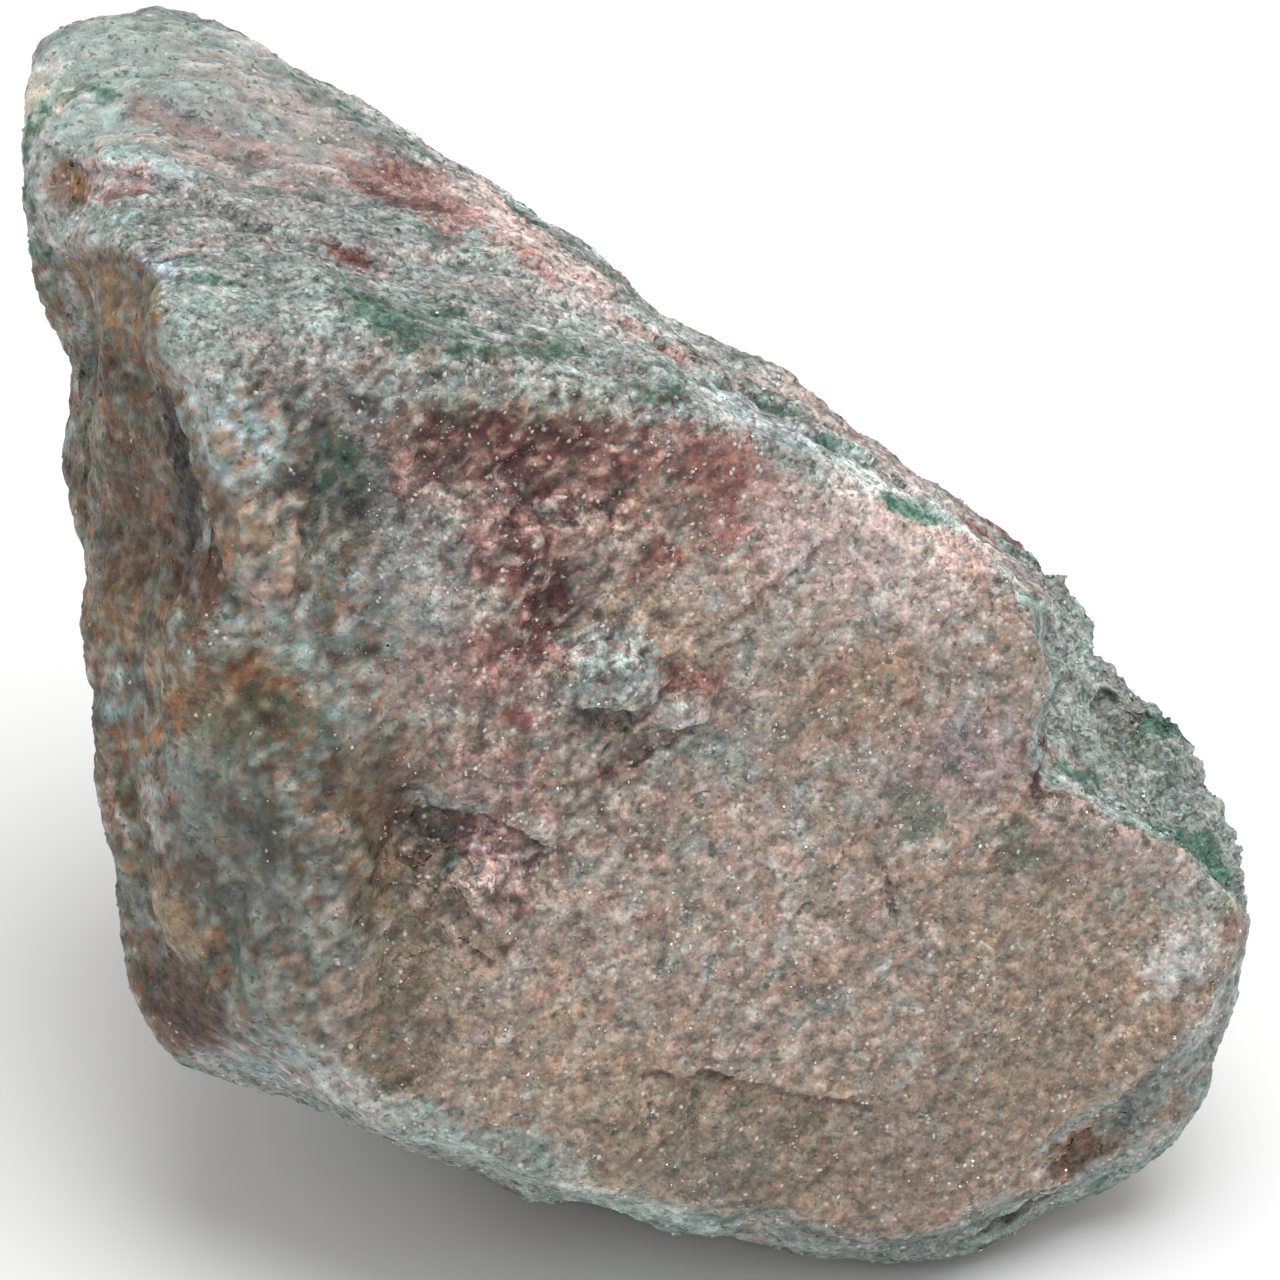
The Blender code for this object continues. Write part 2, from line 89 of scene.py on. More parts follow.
# What each zone looks like in plain even light: its tint (red, green and blue, 0 to 255), then how much of
# it is covered by pale, green and dark specks.
ZONES = {
    "salmon": ((164, 144, 133), 0.050, 0.012, 0.035),
    "tan": ((159, 139, 121), 0.040, 0.012, 0.035),
    "pink": ((184, 165, 161), 0.050, 0.010, 0.030),
    "rose": ((152, 113, 109), 0.045, 0.005, 0.050),
    "maroon": ((80, 43, 45), 0.040, 0.005, 0.060),
    "brick": ((148, 86, 78), 0.040, 0.005, 0.040),
    "pale": ((200, 198, 195), 0.050, 0.010, 0.030),
    "sage": ((148, 157, 152), 0.040, 0.050, 0.080),
    "mint": ((162, 174, 169), 0.040, 0.045, 0.040),
    "green": ((70, 108, 92), 0.020, 0.250, 0.100),
    "moss": ((88, 99, 86), 0.015, 0.060, 0.100),
    "ochre": ((148, 121, 90), 0.012, 0.015, 0.060),
    "rust": ((138, 96, 56), 0.008, 0.008, 0.060),
    "brown": ((108, 77, 60), 0.010, 0.008, 0.080),
    "olive": ((114, 104, 80), 0.010, 0.030, 0.090),
    "grey": ((147, 149, 147), 0.040, 0.040, 0.100),
    # shade is painted shade where the marks lay it in pits, hollows, a crack, the groove and under a knob and
    # a ledge; sprinkled on the left side it makes small dark patches.
    "shade": ((50, 38, 37), 0.005, 0.005, 0.100),
}
# The pale grain colour is partly the stone's own pale quartz and partly painted glints on grains.
PALE_GRAIN_AND_GLINT = (226, 220, 213)
GREEN_GRAIN = (44, 92, 70)
DARK_GRAIN = (70, 66, 62)
# Mica's pale colour, kept bright so that flakes show as bright specks from every side: partly painted glint.
MICA_AND_GLINT = (240, 242, 238)

# The beds from the broken face backwards: how thick each is, and its zone.
BEDS = (
    (1.5, "mint"),
    (3.6, "sage"),
    (1.0, "pink"),
    (3.2, "sage"),
    (1.4, "rose"),
    (2.6, "pink"),
    (3.4, "grey"),
    (1.2, "green"),
    (4.0, "sage"),
    (1.2, "rose"),
    (9.0, "salmon"),
)


def linear(colour):
    """Scene colour of a 0 to 255 display colour."""
    share = np.asarray(colour, float) / 255
    return np.where(share > 0.04045, ((share + 0.055) / 1.055) ** 2.4, share / 12.92)


def rise(value):
    """From 0 to 1 along a smooth step, for a value that runs from 0 to 1."""
    value = np.clip(value, 0, 1)
    return value * value * (3 - 2 * value)


def unit(vectors):
    return vectors / np.maximum(np.linalg.norm(vectors, axis=-1, keepdims=True), 1e-9)


def view_axes():
    """The view's right, up and forward directions, as the columns of a matrix."""
    return np.array(Matrix.Rotation(TO_VIEW_TILT, 3, "X"))


def to_view(points):
    return (points - VIEW_ORIGIN) @ view_axes()


def bed_normal():
    return unit(view_axes() @ np.array((FACE_RIGHT, -FACE_UP, 1.0)))


def bed_depth(points):
    """How far points lie behind the plane of the broken face."""
    x, y, z = to_view(points).T
    return (FACE_Z - FACE_RIGHT * x + FACE_UP * y - z) / math.sqrt(1 + FACE_RIGHT**2 + FACE_UP**2)


def drawn_out(points, share):
    """Points squeezed along the streaks, so that a pattern read at them comes out longer that way."""
    streak = view_axes() @ STREAK
    return points - np.outer(points @ streak, streak) * share


def uneven(points, span, shift=0.0):
    """A smooth value from about -1 to 1 at each point, which changes over span."""
    return np.array([noise.noise(p) for p in (points / span + shift).tolist()])


def rough(points, span, octaves, shift=0.0):
    return np.array([noise.fractal(p, 0.9, 2.1, octaves) for p in (points / span + shift).tolist()])


def seeds(points, span, shift=0.0):
    """The distances to the nearest and second nearest of many scattered seeds, about span apart."""
    near = [noise.voronoi(p, distance_metric="DISTANCE")[0][:2] for p in (points / span + shift).tolist()]
    return np.array(near).T


class Surface:
    """The stone's surface while it is worked: points and normals, in millimetres."""

    def __init__(self, mesh):
        self.mesh = mesh
        self.read()
        self.broad = self.normals.copy()
        self.lift = np.zeros(len(self.points))
        self.tree = BVHTree.FromPolygons(self.points.tolist(), [tuple(f.vertices) for f in mesh.polygons])

    def read(self):
        flat = np.empty(len(self.mesh.vertices) * 3, np.float32)
        self.mesh.vertices.foreach_get("co", flat)
        self.points = flat.reshape(-1, 3).astype(float)
        self.mesh.vertex_normals.foreach_get("vector", flat)
        self.normals = flat.reshape(-1, 3).astype(float)

    def push(self, heights):
        """Moves each point out along its normal, or in where its height is negative."""
        self.lift = self.lift + heights
        self.points = self.points + self.normals * np.asarray(heights)[:, None]
        self.points[:, 2] = np.maximum(self.points[:, 2], 0)
        self.mesh.vertices.foreach_set("co", self.points.astype(np.float32).ravel())
        self.mesh.update()
        self.read()

    def anchors(self, path, spacing):
        """Points of the stone, and their normals, that the photograph shows along a path of pixels."""
        eye = Vector(VIEW_ORIGIN + view_axes() @ np.array((0, 0, VIEW_DISTANCE)))
        places, normals = [], []
        for pixel in along_path(path, spacing * PIXELS_PER_MM):
            right = (pixel[0] - PHOTO_SIDE / 2) / PIXELS_PER_MM
            up = (PHOTO_SIDE / 2 - pixel[1]) / PIXELS_PER_MM
            aim = Vector(VIEW_ORIGIN + view_axes() @ np.array((right, up, 0)))
            hit, normal = self.tree.ray_cast(eye, (aim - eye).normalized())[:2]
            if hit is not None:
                places.append(hit)
                normals.append(normal)
        return np.array(places).reshape(-1, 3), np.array(normals).reshape(-1, 3)

    def around(self, places, reach):
        """The numbers of the points in a box that reaches this far past places."""
        low, high = places.min(0) - reach, places.max(0) + reach
        return np.nonzero(((self.points > low) & (self.points < high)).all(1))[0]

    def near(self, path, reach, spacing):
        """The points within reach of a path of pixels: their numbers, distances and likeness of direction."""
        places, normals = self.anchors(path, spacing)
        if not len(places):
            return np.zeros(0, int), np.zeros(0), np.zeros(0)
        found = self.around(places, reach)
        best = np.full(len(found), reach)
        for place in places:
            best = np.minimum(best, np.linalg.norm(self.points[found] - place, axis=1))
        found, best = found[best < reach], best[best < reach]
        facing = self.broad[found] @ unit(normals.mean(0))
        return found, best, rise((facing - 0.25) / 0.4)


def along_path(path, spacing):
    """Evenly spaced places along a path."""
    path = [np.array(place, float) for place in path]
    yield path[0]
    for start, end in zip(path, path[1:]):
        steps = max(int(np.ceil(np.linalg.norm(end - start) / spacing)), 1)
        for step in range(1, steps + 1):
            yield start + (end - start) * step / steps


def solid_surface():
    """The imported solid's surface, with small even facets and its edges worn a little."""
    work = bmesh.new()
    work.from_mesh(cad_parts["stone"].data)
    bmesh.ops.remove_doubles(work, verts=work.verts, dist=0.001 * MM)
    bmesh.ops.scale(work, vec=(1 / MM,) * 3, verts=work.verts)
    mesh = bpy.data.meshes.new("surface")
    work.to_mesh(mesh)
    work.free()
    holder = bpy.data.objects.new("surface", mesh)
    bpy.context.scene.collection.objects.link(holder)
    fine = holder.modifiers.new("fine", "REMESH")
    fine.mode = "VOXEL"
    fine.voxel_size = SURFACE_VOXEL
    worn = holder.modifiers.new("worn", "SMOOTH")
    worn.factor = 0.5
    worn.iterations = SMOOTHING
    bpy.context.view_layer.update()
    made = bpy.data.meshes.new_from_object(holder.evaluated_get(bpy.context.evaluated_depsgraph_get()))
    bpy.data.objects.remove(holder)
    return made


def crumble_share(surface):
    """1 on the crumbling side at the right, 0 away from it."""
    share = np.zeros(len(surface.points))
    found, distance, _ = surface.near(CRUMBLING, 6.0, 1.0)
    share[found] = rise((6.0 - distance) / 2.5)
    return share * rise((bed_depth(surface.points) - 0.8) / 0.8)


def work_beds(surface):
    """The thin edges of the beds, wherever the top and the right side cut across them."""
    across = rise((1 - np.abs(surface.broad @ bed_normal())) * 1.5)
    top = rise((surface.broad[:, 2] - 0.1) / 0.4)
    right = rise((surface.broad[:, 0] - 0.2) / 0.3) * 0.5
    across = across * (0.1 + 0.9 * np.maximum(top, right))
    depth = bed_depth(surface.points) + uneven(surface.points, 7.0) * 1.2 + uneven(surface.points, 1.6) * 0.25
    height = np.zeros(len(depth))
    for thickness, step in THIN_BEDS:
        part = (depth / thickness) % 1
        height += step * (rise(part / 0.3) - part)
    surface.push(height * across * (1 + 0.5 * uneven(surface.points, 3.0, 7.0)))


def work_face(surface):
    """Broken laminae on the surfaces that run along the beds, with lumps drawn out along the streaks."""
    along = rise((np.abs(surface.broad @ bed_normal()) - 0.6) / 0.25)
    long = drawn_out(surface.points, 0.3)
    level = rough(long, TERRACE_SPAN, 3) * 2.2
    terrace = np.floor(level) + rise((level % 1 - 0.5) / 0.22 + 0.5)
    lumps = rough(long, LUMP_SPAN, 3, 5.0) * LUMP
    found, distance, _ = surface.near(RUGGED, 6.0, 1.0)
    lumps[found] *= 1 + rise((6.0 - distance) / 3.0)
    surface.push(along * (terrace * TERRACE + lumps))


def work_all(surface):
    """The roughness that every side has, down to the size of the grains."""
    near, second = seeds(surface.points + uneven(surface.points, 1.0)[:, None] * 0.3, CHIP_SPAN)
    chips = np.minimum(second - near, 0.35) * CHIP
    surface.push(rough(surface.points, 1.1, 2, 3.0) * 0.08 + chips - 0.04)
    grains = rough(surface.points, 0.42, 2, 11.0) * 0.065
    surface.push(grains)
    crumbs = crumble_share(surface)
    near, second = seeds(surface.points + uneven(surface.points, 0.8, 9.0)[:, None] * 0.4, 1.15, 2.0)
    surface.push(crumbs * ((0.42 - near) * 0.75 - 0.25))


def crack(surface, path):
    """A thin open line."""
    found, distance, _ = surface.near(path, CRACK_WIDTH * 2.5, CRACK_WIDTH / 3)
    heights = np.zeros(len(surface.points))
    heights[found] = -CRACK_DEPTH * np.exp(-((distance / CRACK_WIDTH) ** 2))
    surface.push(heights)


def knob(surface, radius, height, *path):
    """A rounded lump round a path, or a hollow where the height is negative."""
    found, distance, like = surface.near(path, radius * 1.4, radius / 3)
    uneven_edge = uneven(surface.points[found], 1.1, 41.0) * 0.35
    heights = np.zeros(len(surface.points))
    heights[found] = height * like * rise(1.25 - distance / radius + uneven_edge)
    surface.push(heights)


def ledge(surface, height, reach, *path):
    """A broken edge: what lies left of the path in the photograph stands up, and slopes away within reach."""
    places, _ = surface.anchors(path, 0.35)
    flat = to_view(places)[:, :2]
    ahead = unit(np.gradient(flat, axis=0))
    found = surface.around(places, reach)
    best = np.full(len(found), reach)
    nearest = np.zeros(len(found), int)
    for number, place in enumerate(places):
        distance = np.linalg.norm(surface.points[found] - place, axis=1)
        nearest[distance < best] = number
        best = np.minimum(best, distance)
    offset = to_view(surface.points[found])[:, :2] - flat[nearest]
    across = ahead[nearest, 0] * offset[:, 1] - ahead[nearest, 1] * offset[:, 0]
    side = np.sign(across) * best + uneven(surface.points[found], 1.3, 43.0) * 0.5
    ends = np.minimum(nearest, len(places) - 1 - nearest) * 0.35
    heights = np.zeros(len(surface.points))
    heights[found] = height * rise(side / 0.3 + 0.5) * (1 - best / reach) ** 1.5 * rise(ends / 1.5 + 0.1)
    surface.push(heights)


# The broken edges: height and reach in millimetres, then a path of pixels, with the high side at its left.
LEDGES = (
    (0.45, 3.0, (39, 138), (84, 168), (141, 177), (212, 206), (276, 238), (334, 247), (411, 283)),
    (0.35, 3.0, (154, 96), (193, 122), (244, 154), (283, 170), (360, 186)),
    (0.35, 2.0, (430, 300), (500, 330), (560, 348), (640, 372), (700, 398)),
    (0.40, 2.5, (610, 312), (690, 370), (760, 402), (850, 440)),
    (0.45, 1.8, (780, 424), (830, 446), (880, 472), (940, 522), (985, 565), (1015, 600)),
    (0.60, 2.5, (1032, 800), (1036, 740), (1042, 690), (1030, 640), (1000, 580), (962, 536)),
    (0.50, 2.5, (1232, 915), (1180, 852), (1130, 832), (1090, 815), (1032, 790)),
    (0.70, 2.2, (1056, 1168), (1088, 1112), (1150, 1052), (1215, 987)),
    (0.40, 2.0, (405, 800), (440, 800), (475, 808), (510, 822), (560, 852)),
    (0.25, 1.6, (430, 560), (500, 520), (560, 470)),
    (0.25, 2.0, (450, 930), (490, 962), (560, 975)),
    (0.25, 1.8, (700, 640), (760, 590), (850, 520)),
    (0.30, 1.8, (640, 1068), (700, 1070), (760, 1080), (868, 1110)),
    (0.22, 1.8, (560, 1120), (620, 1120), (660, 1100)),
    (0.40, 1.2, (92, 690), (105, 750), (118, 830), (126, 900)),
    (0.50, 2.0, (172, 388), (186, 430), (203, 490), (220, 550), (230, 600)),
)
# The rounded lumps, or hollows where the height is negative: radius and height, then a path.
KNOBS = (
    (1.5, 0.36, (590, 672), (625, 682)),
    (0.8, 0.35, (672, 716), (698, 716)),
    (0.45, -0.35, (592, 712), (622, 718)),
    (0.5, -0.30, (610, 770), (655, 745), (690, 728)),
    (1.0, -0.35, (425, 815), (470, 828)),
    (0.8, 0.40, (455, 880), (478, 888)),
    (0.6, -0.30, (445, 912), (495, 955)),
    (2.2, -0.45, (420, 870), (432, 950), (410, 1040)),
    (1.6, -0.35, (176, 430), (192, 480), (205, 540), (208, 600)),
    (3.0, -0.40, (345, 480), (360, 560), (350, 630)),
    (1.0, -0.25, (68, 185), (80, 200)),
    (0.8, 0.35, (70, 245), (110, 232), (150, 262)),
    (2.2, -0.40, (62, 290), (72, 380), (84, 470)),
    (1.3, -0.60, (1082, 1155), (1118, 1125)),
    (0.5, -0.55, (1112, 705), (1122, 722)),
    (0.4, -0.30, (1045, 800), (1075, 812)),
    (0.9, 0.35, (1150, 722), (1172, 738)),
    (1.0, 0.35, (1195, 800), (1210, 820)),
    (0.9, -0.30, (235, 900), (225, 960)),
    (1.2, 0.30, (165, 905), (195, 935)),
)


def work_ledges(surface):
    """The broken edges, knobs and hollows that the photograph shows, a few tenths of a millimetre high."""
    for row in LEDGES:
        ledge(surface, *row)
    for row in KNOBS:
        knob(surface, *row)


# Each crack is a path of pixels.
CRACKS = (
    ((645, 1078), (675, 1072), (705, 1073), (740, 1076), (765, 1084), (790, 1090), (830, 1102), (868, 1110)),
    ((615, 1130), (632, 1118), (650, 1105)),
    ((698, 1090), (694, 1120), (696, 1150)),
    ((880, 862), (886, 876), (892, 900), (896, 926)),
    ((470, 806), (495, 818), (515, 828), (535, 842), (560, 852)),
    ((455, 856), (468, 868), (488, 888)),
    ((590, 708), (612, 712), (640, 748)),
    ((1040, 1192), (1020, 1208), (1000, 1222), (960, 1246)),
)


def work_cracks(surface):
    """The hairline cracks."""
    for path in CRACKS:
        crack(surface, path)


def smoothed(surface):
    """How high each point's surroundings, about half a millimetre round it, have been lifted."""
    edges = np.empty(len(surface.mesh.edges) * 2, np.int32)
    surface.mesh.edges.foreach_get("vertices", edges)
    first, second = edges.reshape(-1, 2).T
    value = surface.lift.copy()
    count = np.bincount(first, minlength=len(value)) + np.bincount(second, minlength=len(value))
    for _ in range(12):
        total = np.bincount(first, value[second], len(value)) + np.bincount(second, value[first], len(value))
        value = (value + total / count) / 2
    return value


class Paint:
    """The tint at each point of the surface, and how much of it each kind of speck covers."""

    def __init__(self, surface):
        self.surface = surface
        count = len(surface.points)
        self.tint = np.zeros((count, 3))
        self.shares = np.zeros((count, 3))
        self.every = np.arange(count)
        self.view = to_view(surface.points)
        self.left = rise((-(surface.broad @ view_axes()[:, 0]) - 0.5) / 0.25)
        self.shown = self.left * rise((surface.broad @ view_axes()[:, 2] + 0.15) / 0.2)
        self.long = drawn_out(surface.points, 0.25)
        self.flat = self.view * np.array((1.0, 1.0, LEFT_SIDE_DRAWN))
        deep = np.outer(surface.points @ bed_normal(), bed_normal())
        self.bedded = deep + (surface.points - deep) * BEDDED_DRAWN
        self.cut = rise((0.85 - np.abs(surface.broad @ bed_normal())) / 0.25)
        self.ragged = self.blotches(1.5, 1.0) * 0.45 + self.blotches(0.6, 2.0) * 0.65
        self.ragged += self.blotches(0.3, 3.0) * 0.5
        self.left = self.left * rise((LEFT_SIDE_TOP - self.view[:, 1] + self.ragged * 0.6) / 0.6 + 0.5)
        self.lively = self.area(6.0, *RUGGED)
        self.weathered = self.area(6.0, *WEATHERED)
        self.grit = np.ones(count)
        self.pattern = 20.0

    def blotches(self, span, shift, found=slice(None)):
        """A smooth value as of uneven, drawn out the way that each side of the stone calls for."""
        value = uneven(self.long[found], span, shift)
        for places, share in ((self.bedded, self.cut * (1 - self.left)), (self.flat, self.shown)):
            share = share[found]
            part = np.nonzero(share > 0)[0]
            value[part] += (uneven(places[found][part], span, shift) - value[part]) * share[part]
        return value

    def blend(self, found, zone, weight):
        tint, *shares = ZONES[zone]
        weight = np.asarray(weight)[:, None]
        self.tint[found] += (linear(tint) - self.tint[found]) * weight
        self.shares[found] += (np.array(shares) - self.shares[found]) * weight

    def sprinkle(self, where, *rows):
        """Small patches of each zone, span across, where a smooth value is above a level."""
        found = np.nonzero(where > 0.01)[0]
        for zone, span, above, strength in rows:
            self.pattern += 3.7
            value = self.blotches(span, self.pattern, found)
            self.blend(found, zone, where[found] * strength * rise((value - above) / 0.2 + 0.5))

    def mark(self, rows):
        """Patches and streaks of zones, each with a ragged edge round its path."""
        for zone, radius, strength, *path in rows:
            found, distance, like = self.surface.near(path, radius * 1.8, radius / 2)
            away = distance / radius + self.ragged[found]
            self.blend(found, zone, strength * like * rise((1.3 - away) * 1.6))

    def tone(self, rows):
        """Makes broad parts lighter, or darker where the amount is below 1, and warmer or cooler: the stone's
        own tones, and painted light and shade.
        """
        for amount, warm, radius, *path in rows:
            found, distance, like = self.surface.near(path, radius * 1.5, radius / 2)
            away = distance / radius + self.ragged[found] * 0.3
            change = amount * np.array((1 + warm, 1, 1 - warm)) - 1
            self.tint[found] *= 1 + change * (like * rise(1.25 - away))[:, None]

    def area(self, radius, *path):
        """1 near a path, falling to 0 at radius millimetres from it."""
        share = np.zeros(len(self.every))
        found, distance, like = self.surface.near(path, radius, 1.0)
        share[found] = like * rise((radius - distance) / radius * 1.6)
        return share

    def mottle(self):
        """Small patches inside the larger ones, where the stone is rugged or weathered."""
        self.sprinkle(
            self.lively,
            ("pink", 0.4, 0.20, 0.5),
            ("maroon", 0.45, 0.22, 0.6),
            ("moss", 0.5, 0.24, 0.35),
        )
        for side in (self.left, self.weathered * (1 - self.left)):
            self.sprinkle(
                side,
                ("brown", 0.60, 0.14, 0.45),
                ("moss", 0.55, 0.14, 0.45),
                ("mint", 0.45, 0.22, 0.40),
                ("rust", 0.40, 0.26, 0.40),
            )

    def cloud(self):
        """Fine clouds of lighter, darker, warmer and cooler grain over everything, with painted shade in
        hollows and painted light on rises, and surfaces facing up made a little lighter.
        """
        quiet = np.maximum(self.left, self.weathered)
        coarse = 0.34 + 0.34 * self.lively + 0.38 * quiet
        medium = 0.36 + 0.24 * self.lively + 0.26 * quiet
        light = 1 + coarse * self.blotches(0.9, 5.0) + medium * self.blotches(0.36, 6.0)
        # Painted shade and light: points below their surroundings are darkened and points above them
        # lightened, less so where the stone crumbles.
        deep = np.clip(self.surface.lift - smoothed(self.surface), -0.1, 0.1)
        light = light * (1 + deep * (2.6 - 1.3 * crumble_share(self.surface)))
        warm = (self.blotches(0.8, 7.0) + self.blotches(0.4, 8.0) * 0.7) * (1 + quiet * 0.6)
        top = rise((self.surface.broad[:, 2] - 0.4) / 0.3)
        light = np.maximum(light, 0.25) * (1 + 0.05 * top)
        self.tint = self.tint * light[:, None] * (1 + warm[:, None] * np.array((0.11, -0.03, -0.06)))
        lobe = self.area(10.0, *FAR_LOBE)
        self.grit = np.maximum(0.95 + 0.55 * top - 0.6 * quiet - lobe, 0.3)
        gathered = np.clip(0.8 + 3.4 * self.blotches(0.9, 9.0), 0.15, 3.5)
        self.shares[:, 0] *= gathered * (1 + 0.6 * self.lively) * (1 - 0.85 * quiet)


def paint_beds(paint):
    """The beds' own colours, which show on every side that cuts across them."""
    points = paint.surface.points
    depth = bed_depth(points) + uneven(points, 8.0, 4.0) * 1.3 + paint.ragged * 0.5
    start = 0.0
    paint.blend(paint.every, BEDS[0][1], np.ones(len(points)))
    for thickness, zone in BEDS:
        paint.blend(paint.every, zone, rise((depth - start) / 0.6 + 0.5))
        start += thickness
    paint.sprinkle(
        np.ones(len(points)),
        ("grey", 1.5, 0.1, 0.7),
        ("pale", 0.8, 0.24, 0.45),
        ("green", 0.55, 0.33, 0.7),
        ("rose", 0.9, 0.36, 0.35),
        ("moss", 0.45, 0.26, 0.6),
    )


# On the broken face: zone, radius in millimetres, strength, and a path of the photograph's pixels.
FACE_MARKS = (
    ("grey", 2.6, 0.8, (330, 400), (400, 520), (430, 640)),
    ("pale", 1.2, 0.4, (420, 600), (460, 620)),
    ("moss", 1.2, 0.85, (325, 450), (330, 560)),
    ("green", 0.9, 0.95, (334, 462), (342, 480)),
    ("rose", 1.1, 0.7, (400, 440), (410, 480)),
    ("rose", 2.6, 0.75, (470, 440), (530, 450), (610, 470)),
    ("maroon", 1.2, 0.95, (455, 420), (480, 412), (520, 425)),
    ("maroon", 1.0, 0.95, (535, 440), (590, 432), (620, 425)),
    ("maroon", 0.9, 0.95, (505, 470), (540, 478)),
    ("maroon", 0.7, 0.95, (622, 465), (612, 505)),
    ("maroon", 0.8, 0.7, (430, 430), (450, 470)),
    ("maroon", 0.6, 0.8, (500, 510), (540, 520), (570, 512)),
    ("rose", 1.5, 0.85, (500, 550), (540, 580), (545, 640), (500, 670)),
    ("maroon", 1.0, 0.95, (510, 560), (550, 575), (545, 620)),
    ("maroon", 0.6, 0.85, (500, 640), (530, 650)),
    ("brick", 0.5, 0.8, (515, 715), (530, 722)),
    ("rose", 1.1, 0.6, (400, 690), (440, 665), (480, 650)),
    ("rose", 1.6, 0.85, (650, 430), (710, 450), (745, 480), (760, 530)),
    ("brick", 1.3, 0.45, (715, 470), (735, 500), (715, 525)),
    ("brick", 0.5, 0.85, (625, 590), (650, 568), (668, 555)),
    ("pink", 2.0, 0.7, (790, 520), (860, 540), (920, 590)),
    ("tan", 1.3, 0.9, (635, 605), (670, 620), (685, 650)),
    ("mint", 1.4, 0.95, (600, 665), (630, 675)),
    ("sage", 0.9, 0.9, (575, 690), (590, 700)),
    ("pale", 0.7, 0.9, (668, 718), (695, 712)),
    ("maroon", 0.6, 0.6, (668, 678), (700, 680)),
    ("brick", 0.7, 0.45, (680, 685), (705, 695)),
    # painted shadow under the pale green knob
    ("shade", 0.4, 0.7, (575, 715), (600, 722), (640, 715)),
    ("maroon", 0.4, 0.9, (605, 772), (650, 748), (672, 730)),
    ("sage", 0.8, 0.7, (690, 740), (740, 770)),
    ("rose", 1.2, 0.6, (470, 770), (510, 780)),
    # under the ledge over the pit: painted shade, and maroon that is partly its own colour and partly painted
    # shade
    ("shade", 0.7, 0.75, (418, 812), (470, 828), (505, 838)),
    ("maroon", 0.4, 0.9, (450, 806), (500, 818), (512, 832)),
    ("rose", 1.3, 0.7, (480, 830), (500, 860), (500, 900)),
    ("pink", 0.5, 0.9, (460, 882), (478, 890)),
    ("brown", 1.5, 0.9, (372, 750), (378, 820), (372, 880)),
    ("tan", 1.8, 0.7, (420, 880), (440, 960), (420, 1060)),
    # olive down the valley: partly its own colour, partly painted shade
    ("olive", 1.3, 0.6, (400, 900), (398, 980), (390, 1060)),
    ("sage", 1.5, 0.85, (320, 860), (345, 880)),
    ("grey", 1.6, 0.5, (880, 770), (960, 780)),
    ("moss", 0.8, 0.7, (905, 800), (925, 820)),
    ("moss", 0.8, 0.6, (1010, 840), (1040, 870)),
    ("rose", 1.3, 0.45, (920, 760), (1000, 770)),
    ("tan", 3.4, 0.7, (560, 1080), (760, 1150), (900, 1160), (1060, 1060)),
    ("olive", 2.4, 0.35, (620, 1150), (780, 1160)),
    ("tan", 2.6, 0.6, (1000, 930), (1100, 960), (1120, 1020)),
    ("sage", 1.2, 0.8, (440, 1135), (520, 1155), (560, 1175)),
    ("mint", 1.0, 0.8, (400, 1120), (540, 1190), (700, 1222)),
    ("pale", 0.9, 0.6, (310, 1070), (370, 1110)),
    ("sage", 0.9, 0.8, (800, 1245), (900, 1262), (960, 1250)),
)


def paint_broken_face(paint):
    """The salmon and maroon of the large broken face and of the back, which both run along the beds."""
    points = paint.surface.points
    facing = paint.surface.broad @ bed_normal()
    front = rise((facing - 0.62) / 0.2) * rise((3.0 - bed_depth(points)) / 1.0)
    back = rise((-facing - 0.6) / 0.2)
    paint.blend(paint.every, "salmon", np.maximum(front, back))
    paint.sprinkle(
        back,
        ("sage", 5.0, 0.0, 0.9),
        ("rose", 3.5, 0.2, 0.8),
    )
    both = np.maximum(front, back)
    paint.sprinkle(
        both,
        ("tan", 2.4, 0.1, 0.5),
        ("sage", 1.3, 0.30, 0.35),
        ("rose", 1.0, 0.30, 0.35),
        ("pale", 0.6, 0.26, 0.35),
        ("moss", 0.5, 0.30, 0.45),
    )
    paint.mark(FACE_MARKS)


